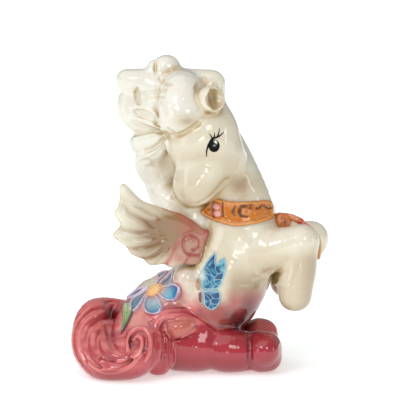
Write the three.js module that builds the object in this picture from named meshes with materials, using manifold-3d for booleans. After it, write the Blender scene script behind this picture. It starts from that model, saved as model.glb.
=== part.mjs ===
// Pegasus figurine: a sitting winged horse in glazed porcelain, looking back over its right shoulder.
// Millimetres, +Z up. It rests on its own flat underside at Z = 0 and faces +X; its right side is -Y.
// Members are separate castings luted together, with small applied sprigs (flower, leaf, butterfly).
import * as THREE from 'three';
import { mergeVertices } from 'three/addons/utils/BufferGeometryUtils.js';
import Module from 'manifold-3d';

const wasm = await Module();
wasm.setup();

// ---- driving dimensions ----
const GAP = 0.3;              // luting gap kept between neighbouring pieces
const CENTRE_X = 0.3256;           // plan centre of the figurine in the modelling grid
const CENTRE_Y = 2.9892;
const WING_THICK = 2.4;       // thickness of a wing
const WING_FLARE = 25;        // degrees that the right wing swings out from the back
const COLLAR_RELIEF = 1.2;    // how far the collar stands above the neck
const COLLAR_HALF = 3.1;      // half of the collar's height
const PETAL_RING = 4.7;       // distance from the flower's centre to a petal's centre
const SEG_LARGE = 12;         // facets round a large member
const SEG_SMALL = 8;          // facets round a small piece

const vec = (a) => new THREE.Vector3(a[0], a[1], a[2]);

// ---- closed solids from geometry classes ----
function solidOfMesh(merged) {
  return new wasm.Manifold(new wasm.Mesh({
    numProp: 3,
    vertProperties: Float32Array.from(merged.attributes.position.array),
    triVerts: Uint32Array.from(merged.index.array),
  }));
}

function toSolid(geometry) {
  const g = geometry.clone();
  g.deleteAttribute('normal');
  g.deleteAttribute('uv');
  return solidOfMesh(mergeVertices(g, 1e-4));
}

function weldCorners(solid) {
  const mesh = solid.getMesh();
  const g = new THREE.BufferGeometry();
  g.setAttribute('position', new THREE.BufferAttribute(Float32Array.from(mesh.vertProperties), 3));
  g.setIndex(new THREE.BufferAttribute(Uint32Array.from(mesh.triVerts), 1));
  return mergeVertices(g.toNonIndexed(), 1e-3);
}

// A round-ended member: a sphere whose rings are laid along a curve, points are [x, y, z, radius].
function sweep(points, grow, seg, perSpan) {
  const caps = 2;
  if (points.length === 1) {
    const ball = new THREE.SphereGeometry(points[0][3] + grow, seg, 2 * caps);
    ball.translate(points[0][0], points[0][1], points[0][2]);
    return toSolid(ball);
  }
  const straight = points.length === 2;
  const n = straight ? 1 : (points.length - 1) * perSpan;
  const curve = straight
    ? new THREE.LineCurve3(vec(points[0]), vec(points[1]))
    : new THREE.CatmullRomCurve3(points.map(vec), false, 'catmullrom', 0.5);
  const rows = [];
  let side = null;
  for (let i = 0; i <= n; i++) {
    const t = i / n;
    const tangent = curve.getTangent(t).normalize();
    if (!side) side = Math.abs(tangent.y) < 0.8 ? new THREE.Vector3(0, 1, 0) : new THREE.Vector3(1, 0, 0);
    side = side.clone().addScaledVector(tangent, -side.dot(tangent)).normalize();
    const span = Math.min(points.length - 2, Math.floor(t * (points.length - 1)));
    const w = t * (points.length - 1) - span;
    rows.push({
      at: curve.getPoint(t), tangent, side,
      other: new THREE.Vector3().crossVectors(tangent, side),
      radius: points[span][3] * (1 - w) + points[span + 1][3] * w + grow,
    });
  }
  const rings = 2 * caps + n;
  const g = new THREE.SphereGeometry(1, seg, rings);
  const pos = g.attributes.position;
  let v = 0;
  for (let j = 0; j <= rings; j++) {
    let row, along, scale;
    if (j <= caps) {
      row = rows[0];
      along = -Math.cos((j / caps) * Math.PI / 2);
      scale = Math.sin((j / caps) * Math.PI / 2);
    } else if (j < caps + n) {
      row = rows[j - caps];
      along = 0;
      scale = 1;
    } else {
      row = rows[n];
      along = Math.sin(((j - caps - n) / caps) * Math.PI / 2);
      scale = Math.cos(((j - caps - n) / caps) * Math.PI / 2);
    }
    if (j === 0 || j === rings) scale = 0;
    for (let i = 0; i <= seg; i++, v++) {
      const a = ((i % seg) / seg) * 2 * Math.PI;
      const p = row.at.clone()
        .addScaledVector(row.tangent, along * row.radius)
        .addScaledVector(row.side, -Math.cos(a) * scale * row.radius)
        .addScaledVector(row.other, Math.sin(a) * scale * row.radius);
      pos.setXYZ(v, p.x, p.y, p.z);
    }
  }
  return toSolid(g);
}

// An ellipsoid; axes are the rows of its own frame, or null for the plain frame.
function egg(centre, radii, axes, grow, seg) {
  const g = new THREE.SphereGeometry(1, seg, Math.max(6, Math.round(seg * 0.6)));
  g.scale(radii[0] + grow, radii[1] + grow, radii[2] + grow);
  const m = new THREE.Matrix4();
  if (axes) m.makeBasis(vec(axes[0]), vec(axes[1]), new THREE.Vector3().crossVectors(vec(axes[0]), vec(axes[1])));
  m.setPosition(vec(centre));
  g.applyMatrix4(m);
  return toSolid(g);
}

// The same member as one straight round-ended piece per span, joined, for curves tighter than their radius.
function chain(points, grow, seg) {
  let s = null;
  for (let i = 0; i + 1 < points.length; i++) {
    const piece = sweep([points[i], points[i + 1]], grow, seg, 1);
    s = s ? s.add(piece) : piece;
  }
  return s;
}

const limb = (...points) => (grow, seg) => sweep(points, grow, seg, 1);
const coil = (...points) => (grow, seg) => chain(points, grow, seg);
const ovoid = (centre, radii, axes) => (grow, seg) => egg(centre, radii, axes, grow, seg);

function build(members, grow, seg) {
  let s = null;
  for (const make of members) {
    const piece = make(grow, seg);
    s = s ? s.add(piece) : piece;
  }
  return s;
}

function box(x0, y0, z0, x1, y1, z1) {
  const g = new THREE.BoxGeometry(x1 - x0, y1 - y0, z1 - z0);
  g.translate((x0 + x1) / 2, (y0 + y1) / 2, (z0 + z1) / 2);
  return toSolid(g);
}
const ABOVE_TABLE = box(-80, -80, 0, 80, 80, 120);

function largest(solid) {
  const bodies = solid.decompose();
  let best = bodies[0];
  for (const b of bodies) if (b.volume() > best.volume()) best = b;
  return best;
}

// ---- the head's own frame: down the nose, out of the forehead, to its left ----
const HEAD_AXES = [[-0.2435, 0.0109, -0.9698], [-0.7117, -0.6814, 0.171], [0.659, -0.7319, -0.1736]];

// ---- members: points are [x, y, z, radius] ----
const TORSO = [
  limb([-7.55, 2, 11.42, 13.4], [-2.15, 1, 16.05, 13.3], [3.75, -1, 20.59, 12.8], [7.74, -2, 27.9, 12], [9.6, -2.2, 34.19, 10.8]),
];
const NECK = [
  limb([11.45, -2.5, 37.77, 9.9], [10.37, -2.2, 44.48, 9.4], [7.71, -1, 53.17, 8.3], [3.59, 0.5, 61.54, 8], [0.53, 1, 68.45, 7.8], [-0.8, 1.5, 72.66, 7.6]),
];
const HEAD = [
  ovoid([0.94, -8.58, 65.74], [9.2, 9.2, 8.8], HEAD_AXES),
  limb([-2.06, -10.23, 61.32, 6.6]),
  limb([3.43, -9.01, 56.86, 6.8]),
  limb([-1.18, -3.88, 58.07, 6.8]),
  limb([-1.7, -9.88, 61.23, 6], [-2.08, -8.66, 54.64, 5.3], [-2.39, -7.86, 50.08, 5.1]),
  ovoid([-2.25, -7.72, 50.05], [5.2, 5.4, 5.9], HEAD_AXES),
  limb([2.9, -4.74, 57.04, 5.5], [-0.58, -6.37, 50.68, 4.6]),
];
const EAR_LEFT = [
  ovoid([2.85, -14, 73.59], [3.7, 3, 3.5], null),
];
const EAR_RIGHT = [
  ovoid([-9.48, -2.5, 81.12], [4.2, 3.4, 4], null),
];
const FORELOCK = [
  limb([-2.61, -10.5, 74.03, 4.9], [-4.43, -12, 72.13, 6.4], [-5.21, -12.5, 70.1, 5.6]),
];
const MANE_CROWN_ROLL = [
  limb([-5.81, -1, 76.46, 4.3], [-11.07, -2.5, 76.66, 4], [-16.07, -3, 76.86, 3.7], [-19.24, -2.5, 77.32, 3]),
];
const MANE_UPPER_LOCK = [
  limb([-12.69, -1, 74.07, 3.8], [-17.43, -2, 72.6, 4], [-18.22, -2.5, 69.48, 3.6], [-16.37, -3, 66.88, 3.4], [-12.68, -3, 65.28, 3.2], [-9.78, -3, 63.95, 2.4]),
  limb([-10.59, -0.5, 71.87, 5], [-13.24, -1, 68.73, 5]),
];
const MANE_MIDDLE_LOCK = [
  limb([-9.24, -3.5, 64.02, 2.4], [-12.4, -4.5, 62.84, 3.3], [-15.05, -4, 62.23, 2.9]),
];
const MANE_LOWER_LOCK = [
  limb([-9.79, -3, 59.93, 2.6], [-12.16, -3.5, 58.94, 3.3], [-13.24, -3, 56.72, 3.2], [-12.47, -2, 53.87, 3.3], [-11.17, -1, 51.02, 3.3]),
];
const MANE_CREST = [
  limb([-6.91, 3, 73.53, 5.5], [-11.19, 3.5, 67.28, 5.5], [-12.01, 3.5, 60.55, 5.4], [-10.42, 3, 54.68, 5.2], [-7.75, 2, 48.89, 5.2], [-3.74, 1, 43.1, 6]),
];
const WITHERS_LOCK = [
  limb([-11.99, 0, 48.96, 2.2], [-9.56, -3, 46.24, 3.6], [-5.83, -5, 43.36, 4.4], [-2.12, -6, 40.58, 4.6]),
];
const FORELEG_RIGHT = [
  limb([11.94, -6, 31.95, 7.3], [17.95, -9, 34.16, 6.8], [22.91, -10.5, 35.79, 5.5], [26.84, -11, 36.29, 4.5]),
  limb([26.84, -11, 36.29, 4.4], [26.34, -11, 31.32, 4.6], [25.85, -11, 25.95, 4.8], [25.09, -11, 21.9, 4.6]),
];
const FORELEG_LEFT = [
  limb([13.45, 4, 33.27, 7.4], [21.01, 5, 33.08, 6], [26.41, 5.5, 33.26, 4.8], [29.94, 6, 33.3, 4.4]),
  limb([29.94, 6, 33.3, 4.3], [27.8, 6, 29.59, 4.5], [25.11, 5.5, 25.29, 4.6], [23.49, 5, 22.08, 4.3]),
];
const HIND_LEG_RIGHT = [
  limb([-4.79, -7.5, 7.82, 8], [0, -8.8, 7.31, 7.1], [5.84, -9.5, 6.25, 5.9], [11.42, -9.5, 5.84, 5.5], [13.15, -9.5, 5.7, 5], [14.61, -9.8, 5.91, 5.3], [16.73, -10, 5.96, 5.2]),
  limb([-12.94, -12.5, 11.97, 2.2], [-10.56, -12.5, 14.67, 2.5], [-7.39, -12.5, 15.75, 2.5], [-3.96, -12, 15.64, 2.3], [-1.06, -12.5, 14.4, 2.1]),
];
const HIND_LEG_LEFT = [
  limb([-2.72, 8, 7.01, 8.6], [4.08, 8, 5.61, 6.8], [10.87, 6.5, 5.4, 5.7], [13.03, 6, 5.52, 5.2], [16.27, 5, 6.03, 5.4]),
  limb([-2.72, 8, 3.38, 6], [16.83, 5.5, 3.69, 4.8]),
];
const HAUNCH_CURL = [
  limb([-6.57, -15.5, 12.92, 2.2], [-4.47, -15.8, 13.53, 2.3], [-2.63, -15.3, 14.22, 2]),
];
const TAIL_SWIRL = [
  coil([-20.46, 2, 16.93, 3.2], [-24.35, -3, 14.73, 3.9], [-27.07, -9, 12.8, 5.6], [-28.26, -13, 9.37, 5.7], [-26.06, -16, 6.56, 5.9], [-21.52, -18, 5.83, 5.9], [-16.79, -18.5, 6.35, 5.7], [-13.37, -18.5, 9.31, 4.9], [-16.75, -18.5, 13.87, 2.8], [-17.78, -20, 10.2, 2]),
  coil([-23.38, -9, 8.72, 6.5], [-17.2, -12, 7.79, 6.5]),
];
const TAIL_ROOT_LOCK = [
  limb([-11.1, -12, 13.48, 3], [-10.55, -14, 9.88, 3.5], [-10.55, -14.5, 5.67, 3.9], [-11.09, -14, 3.92, 3.9]),
];
const BOW_KNOT = [
  limb([20.98, -3.5, 40.93, 1.7], [22.31, -3.8, 40.18, 1.9], [23.37, -3.8, 39.37, 1.8]),
];
const RIBBON = [
  limb([23.09, -4, 41.7, 1], [25.48, -4, 41.02, 1.15], [27.62, -4, 39.4, 1], [29.77, -3.5, 37.69, 0.7], [31.41, -3, 35.43, 0.6], [31.92, -2.8, 32.41, 0.6], [31.58, -2.6, 29.65, 0.65]),
];

// ---- wings: a scalloped plate in its own plane, u out along the wing, w up ----
const WING_OUTLINE = [[-1.2, 38.4], [-1.7, 35.9], [-0.6, 32.8], [2.9, 29.5], [6.1, 30.1], [9.3, 29.4], [11.6, 30.6], [15.6, 30.7], [17, 32.4], [20.1, 33.4], [21.7, 34.9], [22.1, 36.5], [25.5, 38.7], [25.8, 39.6], [23.7, 42.5], [25, 43.8], [25.4, 45.6], [24, 47.2], [24, 51.2], [23.4, 52.7], [21.6, 52], [17.2, 48.2], [12.2, 46.3], [9.5, 44.4], [6.6, 43.6], [0.7, 39.4]];
function wing(root, direction, grow) {
  const shape = new THREE.Shape(WING_OUTLINE.map((p) => new THREE.Vector2(p[0], p[1])));
  const bevel = 0.6;
  const g = new THREE.ExtrudeGeometry(shape, {
    depth: WING_THICK - 2 * bevel + 2 * grow, bevelEnabled: true, bevelThickness: bevel,
    bevelSize: bevel + grow, bevelOffset: -bevel, bevelSegments: 1, curveSegments: 1,
  });
  g.translate(0, 0, -(WING_THICK - 2 * bevel + 2 * grow) / 2);
  const u = new THREE.Vector3(direction[0], direction[1], 0).normalize();
  const up = new THREE.Vector3(0, 0, 1);
  const m = new THREE.Matrix4().makeBasis(u, up, new THREE.Vector3().crossVectors(u, up));
  m.setPosition(root[0], root[1], 0);
  g.applyMatrix4(m);
  return toSolid(g);
}
const FLARE = THREE.MathUtils.degToRad(WING_FLARE);
const WING_RIGHT_ROOT = [0.79, -10.5];
const WING_RIGHT_DIR = [-Math.cos(FLARE), -Math.sin(FLARE)];
const WING_LEFT_ROOT = [5.93, 8.7];
const WING_LEFT_DIR = [-0.5736, 0.8192];

// ---- collar: a band round the base of the neck that narrows to a point over the crest ----
function collar(grow) {
  const around = build(NECK, COLLAR_RELIEF + grow, SEG_LARGE).add(build(TORSO, COLLAR_RELIEF + grow, SEG_LARGE));
  const h = COLLAR_HALF + grow;
  const outline = [[-16, -0.7], [-9.3, -0.7], [-6.8, -0.75 * h], [-3.5, -h], [16, -h], [16, h], [-3.5, h], [-6.8, 0.75 * h], [-9.3, 0.7], [-16, 0.7]];
  const shape = new THREE.Shape(outline.map((p) => new THREE.Vector2(p[0], p[1])));
  const g = new THREE.ExtrudeGeometry(shape, { depth: 50, bevelEnabled: false });
  g.translate(0, 0, -25);
  const up = new THREE.Vector3(0.068, 0.19, 0.98).normalize();
  const x = new THREE.Vector3(0.9976, 0, -0.0695).addScaledVector(up, -(0.9976 * up.x - 0.0695 * up.z)).normalize();
  const m = new THREE.Matrix4().makeBasis(x, up, new THREE.Vector3().crossVectors(x, up));
  m.setPosition(10.05, -2, 41.6);
  g.applyMatrix4(m);
  return around.intersect(toSolid(g));
}

// ---- applied sprigs: flattened ovals laid on the body's side ----
const SPRIGS = {
  flower_petal_1: { at: [-8.92, -9.06, 21.88], along: [0.811, -0.582, -0.062], out: [-0.503, -0.748, 0.434], radii: [3.1, 2.25, 1.1] },
  flower_petal_2: { at: [-12.12, -8.91, 18.45], along: [0.139, -0.519, -0.843], out: [-0.469, -0.785, 0.405], radii: [3.1, 2.25, 1.1] },
  flower_petal_3: { at: [-15.73, -6.05, 18.62], along: [-0.672, 0.021, -0.74], out: [-0.604, -0.594, 0.532], radii: [3.1, 2.25, 1.1] },
  flower_petal_4: { at: [-15.43, -2.47, 21.56], along: [-0.578, 0.798, -0.17], out: [-0.645, -0.319, 0.694], radii: [3.1, 2.25, 1.1] },
  flower_petal_5: { at: [-11.99, -2.38, 24.74], along: [0.203, 0.845, 0.494], out: [-0.633, -0.272, 0.725], radii: [3.1, 2.25, 1.1] },
  flower_petal_6: { at: [-9.08, -5.91, 25.28], along: [0.743, 0.044, 0.668], out: [-0.562, -0.502, 0.658], radii: [3.1, 2.25, 1.1] },
  flower_centre: { at: [-12.54, -6.11, 22.09], along: [0.698, -0.716, 0.024], out: [-0.59, -0.556, 0.585], radii: [2, 2, 1.3] },
  leaf: { at: [-20.35, -1.96, 13.46], along: [-0.187, 0.101, -0.977], out: [-0.944, -0.292, 0.15], radii: [3.74, 1.75, 1] },
  butterfly_body: { at: [-0.37, -13.19, 23.04], along: [-0.034, -0.185, -0.982], out: [-0.315, -0.931, 0.186], radii: [3.56, 0.8, 0.9] },
  butterfly_forewing: { at: [3.23, -13.36, 28.45], along: [0.395, 0.121, 0.911], out: [-0.274, -0.931, 0.242], radii: [3.86, 2.7, 0.9] },
  butterfly_hindwing: { at: [2.46, -13.88, 20.83], along: [0.323, -0.049, -0.945], out: [-0.1, -0.995, 0.018], radii: [2.83, 2.9, 0.9] },
};
function sprig(s, grow) {
  const out = vec(s.out).normalize();
  const along = vec(s.along).addScaledVector(out, -vec(s.along).dot(out)).normalize();
  const side = new THREE.Vector3().crossVectors(out, along);
  return egg(s.at, s.radii, [along.toArray(), side.toArray(), out.toArray()], grow, SEG_SMALL);
}
const BEADS = {
  upper: { at: [4.41, -10.94, 45.09], along: [0.825, -0.562, 0], out: [-0.562, -0.825, 0.058], radii: [1.15, 0.75, 0.7] },
  lower: { at: [4.59, -11.09, 43.38], along: [0.822, -0.567, 0], out: [-0.567, -0.822, 0.06], radii: [1.15, 0.75, 0.7] },
};

// ---- glaze colours ----
const CREAM = { color: 0xefe9dc, roughness: 0.12 };
const ROSE = { color: 0xc4505e, roughness: 0.14 };
const ORANGE = { color: 0xc8752a, roughness: 0.2 };
const PINK = { color: 0xe0909a, roughness: 0.18 };
const BLUE = { color: 0x3f8fc4, roughness: 0.15 };
const LAVENDER = { color: 0xc9a9d6, roughness: 0.15 };
const YELLOW = { color: 0xeeb050, roughness: 0.3 };
const GREEN = { color: 0x6f9a55, roughness: 0.2 };
const BROWN = { color: 0x9a6a3a, roughness: 0.3 };

// ---- the pieces, in the order they are fitted: each is cut clear of those before it ----
const plain = (members, seg) => (grow) => build(members, grow, seg);
const PIECES = [
  ['head', plain(HEAD, SEG_LARGE), CREAM],
  ['forelock', plain(FORELOCK, 10), CREAM],
  ['ear_left', (grow) => (grow ? build(EAR_LEFT, grow, 10) : build(EAR_LEFT, 0, 10).subtract(egg([3.8, -17.0, 73.9], [2.3, 2.3, 2.5], null, 0, 10))), CREAM],
  ['torso', plain(TORSO, SEG_LARGE), CREAM],
  ['neck', plain(NECK, SEG_LARGE), CREAM],
  ['ear_right', plain(EAR_RIGHT, 10), CREAM],
  ['hind_leg_right', plain(HIND_LEG_RIGHT, 10), ROSE],
  ['hind_leg_left', plain(HIND_LEG_LEFT, 10), ROSE],
  ['foreleg_right', plain(FORELEG_RIGHT, 10), CREAM],
  ['foreleg_left', plain(FORELEG_LEFT, 10), CREAM],
  ['wing_right', (grow) => wing(WING_RIGHT_ROOT, WING_RIGHT_DIR, grow), CREAM],
  ['wing_left', (grow) => wing(WING_LEFT_ROOT, WING_LEFT_DIR, grow), CREAM],
  ['withers_lock', plain(WITHERS_LOCK, SEG_SMALL), CREAM],
  ['mane_crown_roll', plain(MANE_CROWN_ROLL, SEG_SMALL), CREAM],
  ['mane_upper_lock', plain(MANE_UPPER_LOCK, SEG_SMALL), CREAM],
  ['mane_middle_lock', plain(MANE_MIDDLE_LOCK, SEG_SMALL), CREAM],
  ['mane_lower_lock', plain(MANE_LOWER_LOCK, SEG_SMALL), CREAM],
  ['mane_crest', plain(MANE_CREST, SEG_SMALL), CREAM],
  ['tail_swirl', plain(TAIL_SWIRL, 8), ROSE],
  ['tail_root_lock', plain(TAIL_ROOT_LOCK, SEG_SMALL), ROSE],
  ['haunch_curl', plain(HAUNCH_CURL, SEG_SMALL), PINK],
  ['collar', collar, ORANGE],
  ['collar_bead_upper', (grow) => sprig(BEADS.upper, grow), PINK],
  ['collar_bead_lower', (grow) => sprig(BEADS.lower, grow), PINK],
  ['bow_knot', plain(BOW_KNOT, SEG_SMALL), ORANGE],
  ['ribbon', plain(RIBBON, 8), ORANGE],
  ['flower_centre', (grow) => sprig(SPRIGS.flower_centre, grow), YELLOW],
  ['flower_petal_1', (grow) => sprig(SPRIGS.flower_petal_1, grow), LAVENDER],
  ['flower_petal_2', (grow) => sprig(SPRIGS.flower_petal_2, grow), LAVENDER],
  ['flower_petal_3', (grow) => sprig(SPRIGS.flower_petal_3, grow), LAVENDER],
  ['flower_petal_4', (grow) => sprig(SPRIGS.flower_petal_4, grow), LAVENDER],
  ['flower_petal_5', (grow) => sprig(SPRIGS.flower_petal_5, grow), LAVENDER],
  ['flower_petal_6', (grow) => sprig(SPRIGS.flower_petal_6, grow), LAVENDER],
  ['leaf', (grow) => sprig(SPRIGS.leaf, grow), GREEN],
  ['butterfly_body', (grow) => sprig(SPRIGS.butterfly_body, grow), BROWN],
  ['butterfly_forewing', (grow) => sprig(SPRIGS.butterfly_forewing, grow), BLUE],
  ['butterfly_hindwing', (grow) => sprig(SPRIGS.butterfly_hindwing, grow), BLUE],
];

const overlaps = (a, b) => a.min.every((v, i) => v < b.max[i]) && b.min.every((v, i) => v < a.max[i]);
const group = new THREE.Group();
const placed = [];
for (const [name, make, glaze] of PIECES) {
  let solid = make(0).intersect(ABOVE_TABLE);
  for (const other of placed) {
    if (overlaps(solid.boundingBox(), other.clear.boundingBox())) solid = solid.subtract(other.clear);
  }
  // Corners closer than a thousandth are welded, and what the weld moved into a neighbour is cut away again.
  let geometry = weldCorners(solid);
  for (let pass = 0; pass < 12; pass++) {
    const welded = solidOfMesh(geometry);
    const touched = placed.filter((other) => welded.intersect(other.solid).volume() > 0.002);
    if (!touched.length && welded.decompose().length === 1) break;
    solid = largest(welded);
    for (const other of touched) solid = solid.subtract(other.clear);
    geometry = weldCorners(largest(solid));
  }
  placed.push({ name, solid: solidOfMesh(geometry), clear: make(GAP) });
  geometry.computeVertexNormals();
  const mesh = new THREE.Mesh(geometry, new THREE.MeshStandardMaterial({ ...glaze, metalness: 0 }));
  mesh.name = name;
  group.add(mesh);
}
group.position.set(-CENTRE_X, -CENTRE_Y, 0);

export default group;
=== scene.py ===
import bpy, math
import numpy as np
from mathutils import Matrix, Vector


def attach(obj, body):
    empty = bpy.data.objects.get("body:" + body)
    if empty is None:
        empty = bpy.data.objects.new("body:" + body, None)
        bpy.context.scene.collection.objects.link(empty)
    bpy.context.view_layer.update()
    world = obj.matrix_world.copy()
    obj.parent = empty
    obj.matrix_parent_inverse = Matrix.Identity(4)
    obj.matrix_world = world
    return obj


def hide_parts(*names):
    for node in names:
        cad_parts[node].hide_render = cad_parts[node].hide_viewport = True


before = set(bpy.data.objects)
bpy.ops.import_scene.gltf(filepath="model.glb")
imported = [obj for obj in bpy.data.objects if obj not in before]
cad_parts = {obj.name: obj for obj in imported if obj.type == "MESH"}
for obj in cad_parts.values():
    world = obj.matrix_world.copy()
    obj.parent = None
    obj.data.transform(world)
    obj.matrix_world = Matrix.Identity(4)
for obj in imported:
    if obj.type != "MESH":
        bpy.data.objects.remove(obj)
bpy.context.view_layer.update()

FINE = 1.0          # coarser surfaces while trying things

# ------------------------------------------------------------------ frame of the reference view
CX, CY = 0.3256, 2.9892                # plan centre of the modelling grid, mm
DIST, ELEV, PXMM, TZ = 700.0, math.radians(10.0), 3.75, 44.9
CE, SE = math.cos(ELEV), math.sin(ELEV)


def P(px, py, Y):
    """The grid point at depth Y that the view shows at (px, py) of its 400 x 400 frame."""
    q = (200 - py) / PXMM / DIST
    z = (q * (DIST + Y * CE) - Y * SE) / (CE + q * SE)
    return ((px - 200) / PXMM * (DIST + Y * CE - z * SE) / DIST, float(Y), z + TZ)


def V(px, py, Y, r):
    return list(P(px, py, Y)) + [r]


# ------------------------------------------------------------------ distance fields
def smooth(x, a, b):
    t = np.clip((x - a) / (b - a), 0, 1)
    return t * t * (3 - 2 * t)


def smin(a, b, k):
    h = np.maximum(k - np.abs(a - b), 0) / k
    return np.minimum(a, b) - h * h * k * 0.25


def smax(a, b, k):
    return -smin(-a, -b, k)


def catmull(pts, n):
    pts = np.asarray(pts, float)
    if len(pts) < 3:
        return pts
    Q = np.vstack([2 * pts[0] - pts[1], pts, 2 * pts[-1] - pts[-2]])
    out = []
    for i in range(len(pts) - 1):
        a, b, c, d = Q[i:i + 4]
        for t in np.arange(n) / n:
            out.append(.5 * (2 * b + (c - a) * t + (2 * a - 5 * b + 4 * c - d) * t * t + (3 * b - a - 3 * c + d) * t ** 3))
    out.append(pts[-1])
    return np.array(out)


class Limb:
    """A round member along a curve, [x, y, z, radius] points, with hair strands pressed along it when strands > 0."""

    def __init__(self, *pts, strands=0, depth=0.0, twist=0.0, phase=0.0, sub=4, sharp=0.8, fade=(2.0, 2.0)):
        q = catmull(pts, sub)
        q[:, 3] = np.maximum(q[:, 3], 0.05)
        self.q, self.strands, self.depth, self.twist, self.phase, self.sharp, self.fade = q, strands, depth, twist, phase, sharp, fade
        if len(q) > 1:
            d = np.diff(q[:, :3], axis=0)
            L = np.linalg.norm(d, axis=1) + 1e-9
            self.s = np.concatenate([[0], np.cumsum(L)])
            T = np.vstack([d / L[:, None], d[-1:] / L[-1]])
            n = np.cross(T[0], [0.3, 1.0, 0.2])
            N = []
            for t in T:
                n = n - t * (n @ t)
                n = n / (np.linalg.norm(n) + 1e-9)
                N.append(n)
            self.N = np.array(N)
            self.B = np.cross(T, self.N)

    def lohi(self):
        return (self.q[:, :3] - self.q[:, 3:]).min(0), (self.q[:, :3] + self.q[:, 3:]).max(0)

    def near(self, p):
        q = self.q
        if len(q) == 1:
            return np.linalg.norm(p - q[0, :3], axis=1) - q[0, 3], None, None
        best = np.full(len(p), 1e9)
        seg = np.zeros(len(p), np.int32)
        tt = np.zeros(len(p))
        for i in range(len(q) - 1):
            a, b = q[i], q[i + 1]
            ab = b[:3] - a[:3]
            w = p - a[:3]
            t = np.clip((w @ ab) / (ab @ ab + 1e-12), 0, 1)
            w -= t[:, None] * ab
            e = np.sqrt(np.einsum("ij,ij->i", w, w)) - (a[3] + (b[3] - a[3]) * t)
            m = e < best
            best[m] = e[m]
            if self.strands:
                seg[m] = i
                tt[m] = t[m]
        return best, seg, tt

    def valley(self, p, seg, t):
        """0 on a strand's crown, 1 in the groove between two strands."""
        q = self.q
        a, b = q[seg], q[seg + 1]
        w = p - (a[:, :3] + (b[:, :3] - a[:, :3]) * t[:, None])
        n = self.N[seg] * (1 - t)[:, None] + self.N[seg + 1] * t[:, None]
        bb = self.B[seg] * (1 - t)[:, None] + self.B[seg + 1] * t[:, None]
        phi = np.arctan2(np.einsum("ij,ij->i", w, bb), np.einsum("ij,ij->i", w, n))
        s = self.s[seg] * (1 - t) + self.s[seg + 1] * t
        x = 1 - np.abs(np.sin((self.strands * phi + self.twist * s + self.phase) / 2)) ** self.sharp
        return x * smooth(s, 0, self.fade[0]) * smooth(self.s[-1] - s, 0, self.fade[1])

    def __call__(self, p):
        d, seg, t = self.near(p)
        if self.strands and seg is not None:
            m = np.abs(d) < 2.5
            if m.any():
                d[m] += self.depth * self.valley(p[m], seg[m], t[m])
        return d

    def groove(self, p):
        if not self.strands:
            return np.zeros(len(p))
        d, seg, t = self.near(p)
        return self.valley(p, seg, t) * (1 - smooth(np.abs(d), 0.8, 1.6))


class Egg:
    def __init__(self, c, r, axes=None):
        self.c, self.r = np.array(c, float), np.array(r, float)
        self.A = np.eye(3) if axes is None else np.array(axes, float)

    def lohi(self):
        e = np.sqrt((self.A ** 2 * (self.r ** 2)[:, None]).sum(0))
        return self.c - e, self.c + e

    def __call__(self, p):
        q = (p - self.c) @ self.A.T
        k0 = np.linalg.norm(q / self.r, axis=1)
        k1 = np.linalg.norm(q / (self.r * self.r), axis=1)
        return k0 * (k0 - 1) / np.maximum(k1, 1e-6)

    def groove(self, p):
        return np.zeros(len(p))


class Piece:
    """One casting: its members, how softly they and their neighbours flow together, and what is carved from it."""

    def __init__(self, prims, k=0.6, join=0.6, cuts=(), cell=0.3, extra=None):
        self.prims, self.k, self.join, self.cuts, self.cell, self.extra = prims, k, join, cuts, cell, extra
        lo, hi = zip(*[q.lohi() for q in prims])
        self.lo, self.hi = np.min(lo, 0), np.max(hi, 0)

    def __call__(self, p):
        d = None
        for q in self.prims:
            e = q(p)
            d = e if d is None else smin(d, e, self.k)
        for c, ck in self.cuts:
            d = smax(d, -c(p), ck)
        if self.extra is not None:
            d = self.extra(p, d)
        return d

    def groove(self, p):
        g = np.zeros(len(p))
        for q in self.prims:
            g = np.maximum(g, q.groove(p))
        return g


class Sheet:
    """A modelled plate, described by maps over its own plane: outline distance, middle line and half thickness either side."""

    def __init__(self, o, u, w, lo, hi, step, maps):
        self.o, self.u, self.w = np.array(o, float), np.array(u, float), np.array(w, float)
        self.n = np.cross(self.u, self.w)
        self.a, self.step, self.m = np.array(lo, float), step, maps
        c = [self.o + self.u * x + self.w * y + self.n * z for x in (lo[0], hi[0]) for y in (lo[1], hi[1]) for z in maps["span"]]
        self.box = np.min(c, 0), np.max(c, 0)

    def lohi(self):
        return self.box

    def uw(self, p):
        q = p - self.o
        return q @ self.u, q @ self.w, q @ self.n

    def look(self, name, x, y):
        M = self.m[name]
        fx = np.clip((x - self.a[0]) / self.step, 0, M.shape[0] - 1.001)
        fy = np.clip((y - self.a[1]) / self.step, 0, M.shape[1] - 1.001)
        i, j = fx.astype(int), fy.astype(int)
        fx, fy = fx - i, fy - j
        return (M[i, j] * (1 - fx) + M[i + 1, j] * fx) * (1 - fy) + (M[i, j + 1] * (1 - fx) + M[i + 1, j + 1] * fx) * fy

    def __call__(self, p):
        x, y, n = self.uw(p)
        n = n - self.look("mid", x, y)
        t = np.where(n > 0, self.look("front", x, y), self.look("back", x, y))
        return smax(self.look("edge", x, y), np.abs(n) - t, 0.7)

    def groove(self, p):
        return np.zeros(len(p))


def seg2(x, y, pts):
    """Distance in the plane to a polyline."""
    d = np.full(np.shape(x), 1e9)
    for (ax, ay), (bx, by) in zip(pts[:-1], pts[1:]):
        ux, uy = bx - ax, by - ay
        t = np.clip(((x - ax) * ux + (y - ay) * uy) / (ux * ux + uy * uy + 1e-12), 0, 1)
        d = np.minimum(d, (x - ax - ux * t) ** 2 + (y - ay - uy * t) ** 2)
    return np.sqrt(d)


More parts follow.
